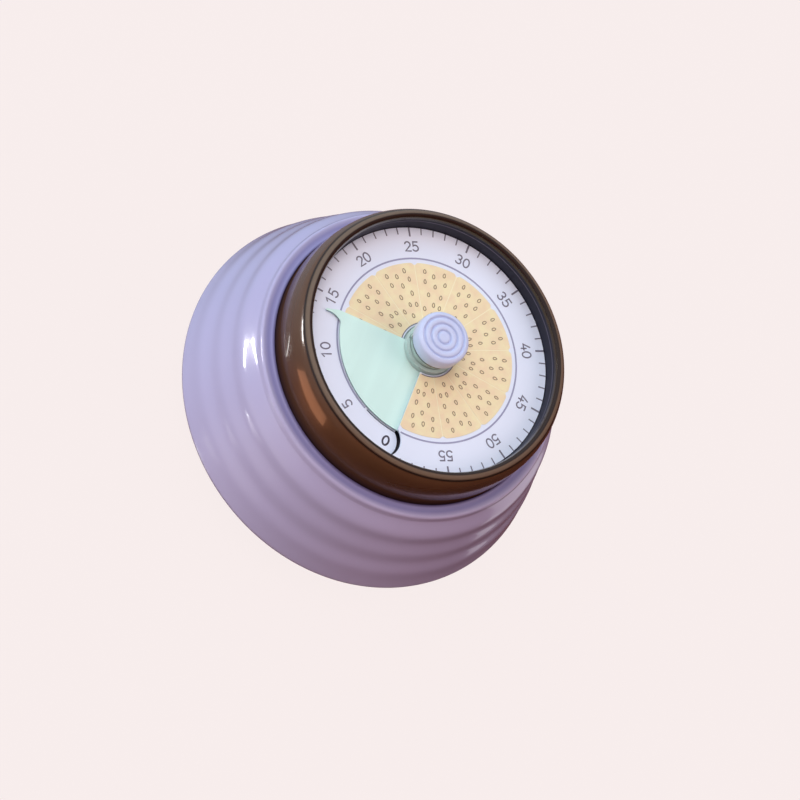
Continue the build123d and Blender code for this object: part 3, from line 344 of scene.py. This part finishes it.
# plastics and inks as screen colours, metals as linear ones
LAVENDER = srgb(182, 177, 214)
# painted shade in the casing's cove beside the bezel
COVE_SHADE_LAVENDER = srgb(148, 145, 194)
# painted contact shadow where the bezel meets the casing
CONTACT_SHADOW_VIOLET = srgb(76, 66, 98)
CAP_LAVENDER = srgb(197, 207, 237)
BROWN = srgb(92, 62, 42)
# painted shade on the bezel's foot
FOOT_SHADE_BROWN = srgb(44, 30, 34)
# painted dark reflection on the bezel's lip
LIP_DARK_REFLECTION = srgb(40, 26, 20)
# painted highlight ring on the bezel's lip
LIP_HIGHLIGHT_TAN = srgb(108, 91, 76)
# painted shade on the bezel's inner wall
WALL_SHADE_NAVY = srgb(30, 30, 46)
# painted reflection line on the bezel's inner wall
WALL_REFLECTION_LINE = srgb(100, 96, 116)
PALE = srgb(223, 231, 247)
MINT = srgb(210, 243, 235)
STEM_GREEN = srgb(196, 218, 210)
# painted shade on the disc's collar round the stem
COLLAR_SHADE_GREEN = srgb(200, 221, 215)
# painted shadow under the knob's cap
CAP_SHADOW_SLATE = srgb(44, 48, 66)
CARRIER_GREY = srgb(96, 96, 106)
RUBBER_GREY = srgb(58, 56, 62)
NICKEL = (0.72, 0.71, 0.68, 1)
STEEL = (0.56, 0.56, 0.58, 1)
SPRING_BLUE = (0.2, 0.22, 0.3, 1)
BRASS = (0.76, 0.57, 0.26, 1)
ORANGE = srgb(236, 224, 182)
ORANGE_WARM = srgb(233, 212, 176)
ORANGE_LIGHT = srgb(240, 231, 198)
RING_GREY = srgb(150, 152, 180)
# ink of the ticks and numbers, also used for the painted shadow ring at the hub hole
INK = srgb(114, 112, 128)
DARK_INK = srgb(66, 62, 76)
SEED = srgb(150, 132, 108)


def bezel_gloss():
    """Brown plastic with painted light: painted shade on the foot, a painted tan highlight ring
    between painted dark reflections on the lip, and painted navy shade on the inner wall with a
    painted reflection line across it.
    """
    shader = Shader("brown_gloss")
    height, radius = shader.height(), shader.radius()
    # painted navy shade on the inner wall of the recess round the dial
    wall = shader.both(shader.band(radius, 20, 27.7), shader.band(height, 20, DIAL_Z + 3.7))
    # painted reflection line across the inner wall
    wall_reflection = shader.both(wall, shader.band(height, DIAL_Z + 2.75, DIAL_Z + 2.95))
    lip = shader.band(height, BEZEL_TOP_Z - 1.4, FAR)
    # painted tan highlight ring on the lip
    lip_highlight = shader.both(lip, shader.band(radius, 28.6, 29.4, 0.12))
    # painted dark reflection on the lip and its inner edge
    lip_dark_reflection = shader.both(lip, shader.band(radius, 27, 29.75, 0.1))
    outside = shader.band(radius, 29.9, 40)
    # painted shade on the foot, darker towards the casing
    foot = shader.both(outside, shader.fade_out(height, DIAL_Z - 7.3, DIAL_Z - 2.5))
    colour = shader.mix(foot, shader.mottle(BROWN, 0.04, FLOW_SCALE), FOOT_SHADE_BROWN)
    colour = shader.mix(lip_dark_reflection, colour, LIP_DARK_REFLECTION)
    colour = shader.mix(lip_highlight, colour, LIP_HIGHLIGHT_TAN)
    colour = shader.mix(wall, colour, WALL_SHADE_NAVY)
    shader.colour(shader.mix(wall_reflection, colour, WALL_REFLECTION_LINE))

    polish = shader.spread(shader.noise(POLISH_SCALE, 4.0), 0.3, 0.7, 0.2, 0.24)
    rough = shader.add("ShaderNodeMath", operation="MAXIMUM")
    shader.link(polish, rough.inputs[0])
    shader.link(shader.spread(wall, 0, 1, 0.0, 0.6), rough.inputs[1])
    shader.link(rough.outputs["Value"], shader.surface.inputs["Roughness"])

    dull = shader.both(outside, shader.fade_out(height, DIAL_Z - 4.8, DIAL_Z - 1.2))
    clear = shader.both(shader.spread(dull, 0, 1, 1.0, 0.0), shader.spread(wall, 0, 1, 1.0, 0.0))
    coat = shader.both(clear, shader.spread(outside, 0, 1, 0.5, 0.6))
    shader.link(coat, shader.surface.inputs["Coat Weight"])
    shader.link(shader.spread(dull, 0, 1, 0.5, 0.0), shader.surface.inputs["Specular IOR Level"])
    shader.set(IOR=1.45, Coat_Roughness=COAT_ROUGHNESS)
    return shader.material


def pot_gloss():
    """Lavender plastic with painted shade in the cove that the bezel stands in, and a darker painted
    contact shadow where the bezel meets it.
    """
    shader = Shader("lavender_gloss")
    height, radius = shader.height(), shader.radius()
    above = shader.band(height, DIAL_Z - 8.5, FAR, 0.2)
    # painted shade in the cove
    cove = shader.both(above, shader.fade_out(radius, 32.4, 33.3))
    # painted contact shadow right against the bezel
    bezel_contact_shadow = shader.both(above, shader.fade_out(radius, 31.1, 31.6))
    colour = shader.mix(cove, shader.mottle(LAVENDER, 0.008, FLOW_SCALE), COVE_SHADE_LAVENDER)
    shader.colour(shader.mix(bezel_contact_shadow, colour, CONTACT_SHADOW_VIOLET))
    shader.roughen(0.23, 0.25, POLISH_SCALE)
    shader.link(shader.spread(bezel_contact_shadow, 0, 1, 0.5, 0.05), shader.surface.inputs["Specular IOR Level"])
    shader.link(shader.spread(cove, 0, 1, 0.6, 0.1), shader.surface.inputs["Coat Weight"])
    shader.set(IOR=1.5, Coat_Roughness=COAT_ROUGHNESS)
    return shader.material


def stem_gloss():
    """Green stem with a painted shadow ring under the cap."""
    shader = Shader("stem_gloss")
    # painted shadow ring under the cap
    ring = shader.spread(shader.height(), (DIAL_Z + 3.8) * MM, (DIAL_Z + 3.9) * MM)
    shader.colour(shader.mix(ring, shader.mottle(STEM_GREEN, 0.08, 300), CAP_SHADOW_SLATE))
    shader.roughen(0.12, 0.2, 300)
    shader.set(IOR=1.5, Coat_Weight=0.8, Coat_Roughness=COAT_ROUGHNESS)
    return shader.material


def disc_satin():
    """Green disc, faintly streaked along the way it was rolled, with painted shade on the collar round
    the stem.
    """
    shader = Shader("mint_satin")
    light = tuple(min(c * 1.03, 1) for c in MINT[:3]) + (1,)
    dark = tuple(c * 0.95 for c in MINT[:3]) + (1,)
    streak = shader.spread(shader.noise(160, 3.0, (1, 0.15, 1)), 0.35, 0.65)
    # painted shade on the collar round the stem
    collar = shader.fade_out(shader.radius(), 5.55, 5.75)
    shader.colour(shader.mix(collar, shader.mix(streak, dark, light), COLLAR_SHADE_GREEN))
    shader.roughen(0.34, 0.46, POLISH_SCALE)
    shader.bump(shader.noise(700, 2.0, (1, 0.2, 1)), 0.00001, 0.3)
    return shader.material


# the material of each slot that the record names
materials = {
    "lavender_plastic": pot_gloss(),
    "brown_plastic": bezel_gloss(),
    "dial_plastic": moulded("dial_satin", PALE, 0.42),
    "mint_plastic": disc_satin(),
    "mint_stem": stem_gloss(),
    "white_plastic": moulded("carrier_satin", CARRIER_GREY, 0.5),
    "rubber_foot": rubber("foot_rubber", RUBBER_GREY),
    "nickel": metal("nickel_plate", NICKEL, 0.16, (1, 1, 1)),
    "steel": metal("turned_steel", STEEL, 0.3),
    "spring_steel": metal("blued_steel", SPRING_BLUE, 0.28),
    "brass": metal("brushed_brass", BRASS, 0.3, (1, 30, 1)),
}

for subpart in frame["record"]["subparts"]:
    slots = nodes[subpart["node"]].data.materials
    slots.clear()
    slots.append(materials[subpart["material_slot"]])


# ---------------------------------------------------------------- casing
BELLY_Z = 7.7                       # height where the sloping side would reach the full radius
BELLY_TAPER = 0.33                  # how far the side draws in for each millimetre of height
BELLY_CREST_Z = DIAL_Z - 31.2
RIB_TOP_Z = DIAL_Z - 12.95
RIB_SPACING = 3.15                  # height from a rib's crest to the next valley
RIB_DEPTH = 0.115                   # height of a crest above the sloping side
RIB_POINTS = 6                      # crests and valleys together
CHANNEL_RADIUS = BEZEL_RADIUS + 0.04
BEAD_Z = DIAL_Z - 7.85
COVE_Z = BEAD_Z + 0.35
COLLAR_RADIUS = 29.4
COLLAR_TOP_Z = DIAL_Z - 5.0
CASE_WALL = 2.0
LEDGE_RADIUS = 31.6
LEDGE_TOP_Z = 4.4
COVER_GAP = 0.15


def casing_outline():
    """Outside from the bezel's channel down to the back, then the inside back up."""
    ribs = []
    for step in range(RIB_POINTS):
        height = RIB_TOP_Z - step * RIB_SPACING
        crest = RIB_DEPTH if step % 2 == 0 else -RIB_DEPTH
        ribs.append((CASE_RADIUS - BELLY_TAPER * (height - BELLY_Z) + crest, height))
    bead_top = (33.35, BEAD_Z)
    bead_side = (34.0, BEAD_Z - 0.85)
    groove = (34.26, BEAD_Z - 1.75)
    belly = (CASE_RADIUS, BELLY_CREST_Z)
    back_edge = (35.2, COVER_BOTTOM_Z)
    roof = (32.2, BEZEL_BOTTOM_Z - 1.8)
    outline = [(COLLAR_RADIUS, COLLAR_TOP_Z), (COLLAR_RADIUS, BEZEL_BOTTOM_Z)]
    outline += [(CHANNEL_RADIUS, BEZEL_BOTTOM_Z), (CHANNEL_RADIUS, COVE_Z - 0.1)]
    cove = (CHANNEL_RADIUS + 0.08, COVE_Z - 0.02)
    outline += bezier(cove, (31.6, BEAD_Z - 0.35), (32.8, BEAD_Z), bead_top)
    outline += bezier(bead_top, (33.7, BEAD_Z), (33.93, BEAD_Z - 0.3), bead_side)
    outline += smooth_run([bead_side, groove] + ribs + [belly])
    outline += bezier(belly, (CASE_RADIUS, 5.2), (38.8, 2.4), back_edge, 24)
    rebate = COVER_RADIUS + COVER_GAP
    outline += [back_edge, (rebate, COVER_BOTTOM_Z), (rebate, COVER_TOP_Z)]
    outline += [(LEDGE_RADIUS, COVER_TOP_Z), (LEDGE_RADIUS, LEDGE_TOP_Z)]
    outline += smooth_run([(37.8, LEDGE_TOP_Z), (39.5, 8.0), (38.3, 13.0), (36.4, 19.0), roof], 5)
    outline += [roof, (COLLAR_RADIUS - CASE_WALL, roof[1]), (COLLAR_RADIUS - CASE_WALL, COLLAR_TOP_Z)]
    return outline


new_piece("casing_skin", lathe_mesh("casing_skin", casing_outline()), "case",
          materials["lavender_plastic"], ["body_shell"])


# ---------------------------------------------------------------- bezel
BORE_RADIUS = 27.45
SOCKET_RADIUS = 29.5                # the bezel is hollow up to SOCKET_TOP_Z, to fit over the casing
SOCKET_TOP_Z = DIAL_Z - 3.6


def bezel_outline():
    """Outside wall, rolled crest and the lip that falls to the dial."""
    top = BEZEL_TOP_Z
    wall_top = (BEZEL_RADIUS, BEZEL_BOTTOM_Z + 4.5)
    lip_edge = (27.6, top - 1.0)
    outline = [(BEZEL_RADIUS, BEZEL_BOTTOM_Z)]
    outline += smooth_run([wall_top, (30.85, top - 4.6), (30.45, top - 2.35), (29.85, top - 0.95),
                           (29.2, top - 0.25), (28.5, top), (27.9, top - 0.25), lip_edge], 12)
    outline += [lip_edge, (BORE_RADIUS, DIAL_Z + 0.6), (BORE_RADIUS, SOCKET_TOP_Z)]
    outline += [(SOCKET_RADIUS, SOCKET_TOP_Z), (SOCKET_RADIUS, BEZEL_BOTTOM_Z)]
    return outline


new_piece("bezel_skin", lathe_mesh("bezel_skin", bezel_outline()), "case",
          materials["brown_plastic"], ["bezel"])


# ---------------------------------------------------------------- knob
GROOVES = (1.45, 2.95, 4.45)        # radii of the rings cut in the cap
GROOVE_HALF_WIDTH = 0.36
GROOVE_DEPTH = 0.5
RECESS_RADIUS = 3.5                 # the stem's socket in the cap's underside
RECESS_TOP_Z = CAP_BOTTOM_Z + 1.2
CAP_SEGMENTS = 128


def cap_outline():
    """Turned cap with three shallow grooves and a rolled edge."""
    land = CAP_TOP_Z - 0.06
    knots = [(0.0, CAP_TOP_Z - 0.03)]
    for groove in GROOVES:
        knots += [(groove - GROOVE_HALF_WIDTH, land), (groove, CAP_TOP_Z - GROOVE_DEPTH)]
        knots += [(groove + GROOVE_HALF_WIDTH, land)]
    knots += [(5.2, CAP_TOP_Z - 0.12), (5.62, CAP_TOP_Z - 0.4), (CAP_RADIUS, CAP_TOP_Z - 1.1)]
    outline = smooth_run(knots, 8)
    outline += [(CAP_RADIUS, CAP_TOP_Z - 1.1), (CAP_RADIUS, CAP_BOTTOM_Z + 0.3)]
    outline += [(CAP_RADIUS - 0.08, CAP_BOTTOM_Z + 0.1), (CAP_RADIUS - 0.3, CAP_BOTTOM_Z)]
    outline += [(RECESS_RADIUS, CAP_BOTTOM_Z), (RECESS_RADIUS, RECESS_TOP_Z), (0.0, RECESS_TOP_Z)]
    return outline


cap_satin = moulded("cap_satin", CAP_LAVENDER, 0.34, gloss_coat=0.3)
new_piece("cap_skin", lathe_mesh("cap_skin", cap_outline(), CAP_SEGMENTS), "knob",
          cap_satin, ["knob_cap"])


# ---------------------------------------------------------------- printing on the dial, and a painted shadow ring at the hub hole
GUIDE_RADIUS = 20.35
GUIDE_WIDTH = 0.36
GUIDE_END = 358           # degrees
# the hub ring is no print: it is a painted shadow at the edge of the hub hole
HUB_RADIUS = 6.12
HUB_WIDTH = 0.2
HUB_END = 356
RING_START = 22.5         # degrees; both rings begin past the arc cut beside the 0 line
RING_STEP = 2.0
TICK_OUTER = 27.3
LONG_TICK = (25.3, 0.38)  # inner radius and width
SHORT_TICK = (25.8, 0.26)


def strip(radius, width, start, end):
    """Ring-shaped band between two angles."""
    count = int((end - start) / RING_STEP)
    rows = []
    for index in range(count + 1):
        angle = start + (end - start) * index / count
        rows.append([(radius - width / 2, angle), (radius + width / 2, angle)])
    return rows


def tick(minute, inner, width):
    """Short radial bar of even width."""
    angle = minute * DEGREES_PER_MINUTE
    rows = []
    for radius in (inner, (inner + TICK_OUTER) / 2, TICK_OUTER):
        half = math.degrees(width / 2 / radius)
        rows.append([(radius, angle - half), (radius, angle + half)])
    return rows


# this ink also makes the painted shadow ring at the hub hole
ink = moulded("printed_ink_and_hub_shadow", INK, 0.5)
guide_ink = moulded("guide_ink", RING_GREY, 0.45)

ticks = []
for minute in range(1, 60):
    ticks.append(tick(minute, *(SHORT_TICK if minute % 5 else LONG_TICK)))
new_piece("minute_ticks", film("minute_ticks", ticks, BASE_LAYER), "case", ink)
guide = strip(GUIDE_RADIUS, GUIDE_WIDTH, RING_START, GUIDE_END)
new_piece("guide_ring", film("guide_ring", [guide], BASE_LAYER), "case", guide_ink)
# painted shadow ring at the edge of the hub hole, in the tick ink
hub = strip(HUB_RADIUS, HUB_WIDTH, RING_START, HUB_END)
new_piece("hub_ring", film("hub_ring", [hub], TOP_LAYER), "case", ink)


def arc(centre, radius, start, end, squash=1.0, steps=14):
    """Points of an arc in a numeral; angles are anticlockwise from its right side."""
    points = []
    for index in range(steps + 1):
        turn = math.radians(start + (end - start) * index / steps)
        points.append((centre[0] + radius * math.cos(turn),
                       centre[1] + radius * squash * math.sin(turn)))
    return points


# pen strokes of each digit, in a cell that is DIGIT_WIDTH wide and 1 high
DIGITS = {
    "0": [arc((0.3, 0.5), 0.26, 90, 450, 1.78, 32)],
    "1": [[(0.08, 0.76), (0.3, 0.97), (0.3, 0.03)]],
    "2": [arc((0.29, 0.7), 0.24, 165, -35, 1.1) + [(0.06, 0.03), (0.56, 0.03)]],
    "3": [arc((0.27, 0.74), 0.22, 150, -80, 1.05), arc((0.27, 0.28), 0.25, 85, -150)],
    "4": [[(0.34, 0.97), (0.05, 0.3), (0.58, 0.3)], [(0.43, 0.55), (0.43, 0.03)]],
    "5": [[(0.52, 0.97), (0.13, 0.97), (0.1, 0.54)] + arc((0.28, 0.33), 0.27, 115, -145, 1.1)],
}
DIGIT_WIDTH = 0.6
DIGIT_ADVANCE = 0.7
DIGIT_STRETCH = 1.14      # numbers are this much wider than they are drawn above
NUMERAL_RADIUS = 23.05
NUMERAL_HEIGHT = 2.2
NUMERAL_PEN = 0.31
ZERO_PEN = 0.4
ZERO_SHIFT = 3.0          # degrees from the 0 line to the middle of the printed 0


def stroke(points, width, place):
    """Band of even width along a pen stroke, with round ends unless it closes on itself.

    place turns a flat point into a radius and an angle on the dial.
    """
    knots = [Vector(point) for point in points]
    rows = []
    first = (knots[1] - knots[0]).normalized()
    last = (knots[-1] - knots[-2]).normalized()
    looped = (knots[-1] - knots[0]).length < 1e-6
    cap_steps = 0 if looped else 4
    before, after = (last, first) if looped else (first, last)
    for index in range(cap_steps, 0, -1):
        turn = math.pi / 2 * index / (cap_steps + 0.5)
        centre = knots[0] - first * width / 2 * math.sin(turn)
        rows.append((centre, first, width / 2 * math.cos(turn)))
    for index, knot in enumerate(knots):
        into = (knot - knots[index - 1]).normalized() if index else before
        out = (knots[index + 1] - knot).normalized() if index + 1 < len(knots) else after
        mean = (into + out).normalized()
        rows.append((knot, mean, width / 2 / max(mean.dot(out), 0.6)))
    for index in range(1, cap_steps + 1):
        turn = math.pi / 2 * index / (cap_steps + 0.5)
        centre = knots[-1] + last * width / 2 * math.sin(turn)
        rows.append((centre, last, width / 2 * math.cos(turn)))
    sheet = []
    for centre, along, half in rows:
        side = Vector((-along.y, along.x)) * half
        sheet.append([place(centre + side), place(centre), place(centre - side)])
    return sheet


def numeral(minute, pen):
    """Pen strokes of one number, tops outward, centred at its minute."""
    text = str(minute)
    broad = NUMERAL_HEIGHT * DIGIT_STRETCH
    width = (DIGIT_ADVANCE * (len(text) - 1) + DIGIT_WIDTH) * broad
    sheets = []
    for place_in_text, character in enumerate(text):
        shift = place_in_text * DIGIT_ADVANCE * broad - width / 2

        def place(point):
            radius = NUMERAL_RADIUS + point.y - NUMERAL_HEIGHT / 2
            across = point.x + shift
            return (math.hypot(radius, across),
                    minute * DEGREES_PER_MINUTE + math.degrees(math.atan2(across, radius)))

        for line in DIGITS[character]:
            sheets.append(stroke([(x * broad, y * NUMERAL_HEIGHT) for x, y in line], pen, place))
    return sheets


numerals = []
for minute in range(5, 60, 5):
    numerals += numeral(minute, NUMERAL_PEN)
new_piece("numbers", film("numbers", numerals, BASE_LAYER), "case", ink)

zero = numeral(0, ZERO_PEN)
zero = [[[(r, a + ZERO_SHIFT) for r, a in row] for row in sheet] for sheet in zero]
dark_ink = moulded("printed_zero", DARK_INK, 0.5)
new_piece("zero", film("zero", zero, BASE_LAYER), "case", dark_ink)


# ---------------------------------------------------------------- printed fruit slice
SLICE_RADIUS = 19.35
SLICE_INNER = 6.15
WEDGE_ANGLE = 30
WEDGES = 360 // WEDGE_ANGLE
WEDGE_CORNER = 0.9        # radius of a wedge's outer corners
PITH_WIDTH = 0.2          # width of the pale line between two wedges
SEED_LINE = 0.2           # width of a pip's printed outline
# radius and angle of each pip in one wedge
SEEDS = ((17.6, 7.2), (16.8, 14.0), (17.7, 21.7), (15.4, 6.9), (14.5, 16.3), (15.7, 23.7),
         (12.4, 10.0), (12.6, 23.1), (10.3, 16.4), (10.1, 24.3), (9.2, 4.8), (7.9, 15.0))


def wedge(index):
    """One segment of the fruit slice, with rounded outer corners."""
    start = index * WEDGE_ANGLE
    rows = []
    for step in range(25):
        radius = SLICE_INNER + (SLICE_RADIUS - SLICE_INNER) * math.sin(math.pi / 2 * step / 24)
        corner = max(radius - (SLICE_RADIUS - WEDGE_CORNER), 0) / WEDGE_CORNER
        inset = PITH_WIDTH / 2 + WEDGE_CORNER * (1 - math.sqrt(max(1 - corner * corner, 0)))
        edge = math.degrees(inset / radius)
        first, last = start + edge, start + WEDGE_ANGLE - edge
        rows.append([(radius, first + (last - first) * k / 12) for k in range(13)])
    return rows


def seed(radius, angle, length, width):
    """Outlined pip, pointing at the centre."""
    rows = []
    for step in range(19):
        turn = 2 * math.pi * step / 18
        ring = []
        for inset in (0, SEED_LINE):
            along = (length / 2 - inset) * math.cos(turn)
            across = (width / 2 - inset) * math.sin(turn) * (1 - 0.2 * math.cos(turn))
            ring.append((radius + along, angle + math.degrees(across / radius)))
        rows.append(ring)
    return rows


def orange_print():
    """Printed orange that wanders between a yellow and a pink cast."""
    shader = Shader("printed_orange")
    fade = shader.spread(shader.noise(420, 3.0), 0.35, 0.65)
    shader.colour(shader.mix(fade, ORANGE, ORANGE_WARM))
    shader.roughen(0.4, 0.5, POLISH_SCALE)
    shader.fine_skin()
    return shader.material


orange = orange_print()
orange_light = moulded("printed_pith", ORANGE_LIGHT, 0.42)
seed_ink = moulded("printed_seed", SEED, 0.5)
pith_radii = (SLICE_INNER, 12.0, SLICE_RADIUS - 0.4)
pith_rows = [[(radius, angle) for radius in pith_radii] for angle in range(0, 361, 3)]
new_piece("pith", film("pith", [pith_rows], BASE_LAYER), "case", orange_light)
wedges = [wedge(index) for index in range(WEDGES)]
new_piece("wedges", film("wedges", wedges, WEDGE_LAYER), "case", orange)
random.seed(7)
pips = []
for index in range(WEDGES):
    for radius, offset in SEEDS:
        lean = random.uniform(-0.4, 0.4)
        pips.append(seed(radius + random.uniform(-0.1, 0.1), index * WEDGE_ANGLE + offset + lean,
                         random.uniform(1.05, 1.2), random.uniform(0.68, 0.78)))
new_piece("pips", film("pips", pips, TOP_LAYER), "case", seed_ink)


# ---------------------------------------------------------------- camera
VIEW_TILT = math.radians(33.5)      # between the dial's axis and the line of sight
VIEW_AZIMUTH = math.radians(63.7)   # side of the dial nearest the camera, from +X towards +Y
AXIS_SLOPE = math.radians(38)       # how the axis leans in the picture, from level
DISTANCE = 0.55                     # metres from the camera to the dial's centre
LENS = 120.0
SENSOR_WIDTH = 36
NEAR_CLIP = 0.01
DIAL_IN_VIEW = Vector((0.0105, 0.0187, -1)).normalized()   # towards the dial, in camera axes
dial_centre = Vector((0, 0, DIAL_Z * MM))


def basis(first, third):
    """Matrix whose columns are two perpendicular directions and the one between them."""
    return Matrix((first, third.cross(first), third)).transposed()


sight = Vector((math.sin(VIEW_TILT) * math.cos(VIEW_AZIMUTH),
                math.sin(VIEW_TILT) * math.sin(VIEW_AZIMUTH), math.cos(VIEW_TILT)))
axis_world = (Vector((0, 0, 1)) - sight * math.cos(VIEW_TILT)).normalized()
axis_view = Vector((math.cos(AXIS_SLOPE), math.sin(AXIS_SLOPE), 0))
axis_view = (axis_view + DIAL_IN_VIEW * -axis_view.dot(DIAL_IN_VIEW)).normalized()
camera_turn = basis(axis_world, sight) @ basis(axis_view, -DIAL_IN_VIEW).transposed()
camera_data = bpy.data.cameras.new("camera")
camera_data.lens = LENS
camera_data.sensor_width = SENSOR_WIDTH
camera_data.clip_start = NEAR_CLIP
camera = bpy.data.objects.new("camera", camera_data)
camera.matrix_world = Matrix.Translation(dial_centre + sight * DISTANCE) @ camera_turn.to_4x4()
bpy.context.scene.collection.objects.link(camera)
bpy.context.scene.camera = camera


# ---------------------------------------------------------------- lamps
FILL_DISTANCE = 1.1
FILL_SIZE = (0.8, 0.8)
ACCENT_DISTANCE = 1.0
WHITE = (1, 1, 1)
SKY_BLUE = (0.5, 0.8, 1)

# name, direction, power and tint of the broad lamps, which leave no reflection
FILLS = (
    ("left", (-0.82, -0.32, 0.42), 9.8, (1, 0.93, 0.87)),
    ("front", (0.15, 0.5, 0.93), 6.6, (1, 0.84, 0.78)),
    ("right", (1.0, -0.1, 0.35), 5.2, (1, 0.88, 0.86)),
    ("warm", (0.35, -0.9, 0.15), 1.5, (1, 0.25, 0.16)),
    ("top", (0.1, 1.0, 0.4), 3.6, SKY_BLUE),
    ("top_left", (-0.6, 0.7, 0.4), 2.6, SKY_BLUE),
)
# name, direction, size, power, tint and the only piece lit, of the lamps seen as reflections
ACCENTS = (
    ("streak", (-0.88, 0.38, 0.25), (0.07, 0.24), 3.6, WHITE, None),
    ("faint", (-0.82, 0.06, -0.57), (0.015, 0.12), 0.05, WHITE, "bezel_skin"),
    ("glow", (-0.92, -0.34, -0.16), (0.4, 0.5), 1.6, (1, 0.42, 0.22), "bezel_skin"),
    ("soft", (-0.93, -0.3, -0.2), (0.08, 0.2), 0.5, WHITE, "casing_skin"),
    ("edge", (0.62, -0.35, -0.66), (0.4, 0.5), 0.5, (0.95, 0.93, 1.0), "casing_skin"),
)


def lamp_basis(toward):
    """Turns a lamp to face the dial, its height along the picture's upright."""
    upright = camera_turn @ Vector((0, 1, 0))
    across = upright.cross(toward).normalized()
    return basis(across, toward)


def softbox(name, direction, distance, size, power, tint):
    """Area lamp; direction is from the dial in the picture's right, up and near axes."""
    lamp_data = bpy.data.lights.new(name, "AREA")
    lamp_data.shape = "RECTANGLE"
    lamp_data.size, lamp_data.size_y = size
    lamp_data.energy = power
    lamp_data.color = tint
    lamp = bpy.data.objects.new(name, lamp_data)
    toward = (camera_turn @ Vector(direction)).normalized()
    facing = lamp_basis(toward)
    lamp.matrix_world = Matrix.Translation(dial_centre + toward * distance) @ facing.to_4x4()
    bpy.context.scene.collection.objects.link(lamp)
    return lamp


for name, direction, power, tint in FILLS:
    fill = softbox(name, direction, FILL_DISTANCE, FILL_SIZE, power, tint)
    fill.visible_glossy = False
for name, direction, size, power, tint, lit in ACCENTS:
    accent = softbox(name, direction, ACCENT_DISTANCE, size, power, tint)
    accent.visible_diffuse = False
    if lit:
        receivers = bpy.data.collections.new(name)
        receivers.objects.link(bpy.data.objects[lit])
        accent.light_linking.receiver_collection = receivers


# ---------------------------------------------------------------- surroundings
SKY_UP = (-0.3, 0.92, 0.2)          # the sky's bright side, in the picture's axes
SKY_DARK = (0.03, 0.01, 0.01, 1)
SKY_MIDDLE = (0.15, 0.035, 0.03, 1)
SKY_BRIGHT = (0.4, 0.44, 0.49, 1)


def build_sky():
    """World that runs from dark red below to pale blue-grey above, in the picture's upright."""
    world = bpy.data.worlds.new("studio")
    bpy.context.scene.world = world
    world.use_nodes = True
    tree = world.node_tree
    background = tree.nodes["Background"]
    coordinates = tree.nodes.new("ShaderNodeTexCoord")
    dot = tree.nodes.new("ShaderNodeVectorMath")
    dot.operation = "DOT_PRODUCT"
    dot.inputs[1].default_value = camera_turn @ Vector(SKY_UP).normalized()
    tree.links.new(coordinates.outputs["Generated"], dot.inputs[0])
    half = tree.nodes.new("ShaderNodeMath")
    half.operation = "MULTIPLY_ADD"
    half.inputs[1].default_value = 0.5
    half.inputs[2].default_value = 0.5
    tree.links.new(dot.outputs["Value"], half.inputs[0])
    ramp = tree.nodes.new("ShaderNodeValToRGB")
    ends = ramp.color_ramp.elements
    ends[0].position = 0.12
    ends[0].color = SKY_DARK
    ends[1].position = 0.8
    ends[1].color = SKY_BRIGHT
    ends.new(0.45).color = SKY_MIDDLE
    tree.links.new(half.outputs[0], ramp.inputs["Fac"])
    tree.links.new(ramp.outputs["Color"], background.inputs["Color"])
    background.inputs["Strength"].default_value = 1.0


FLOOR_HALF = 3.0                    # metres
FLOOR_ALBEDO = (0.02, 0.018, 0.018, 1)
FLOOR_GLOW = srgb(246, 236, 235)


def build_floor():
    """Pale, softly glowing ground that shows in no reflection and lights nothing."""
    mesh = bpy.data.meshes.new("floor")
    corners = [(-FLOOR_HALF, -FLOOR_HALF, 0), (FLOOR_HALF, -FLOOR_HALF, 0),
               (FLOOR_HALF, FLOOR_HALF, 0), (-FLOOR_HALF, FLOOR_HALF, 0)]
    mesh.from_pydata(corners, [], [(0, 1, 2, 3)])
    floor = bpy.data.objects.new("floor", mesh)
    bpy.context.scene.collection.objects.link(floor)
    shader = bpy.data.materials.new("pale_floor")
    shader.use_nodes = True
    surface = shader.node_tree.nodes["Principled BSDF"]
    surface.inputs["Base Color"].default_value = FLOOR_ALBEDO
    surface.inputs["Roughness"].default_value = 0.9
    surface.inputs["Specular IOR Level"].default_value = 0
    surface.inputs["Emission Color"].default_value = FLOOR_GLOW
    surface.inputs["Emission Strength"].default_value = 0.99
    mesh.materials.append(shader)
    floor.visible_glossy = False
    floor.visible_diffuse = False
    return floor


bpy.context.scene.view_settings.view_transform = "Standard"
build_sky()
floor = build_floor()
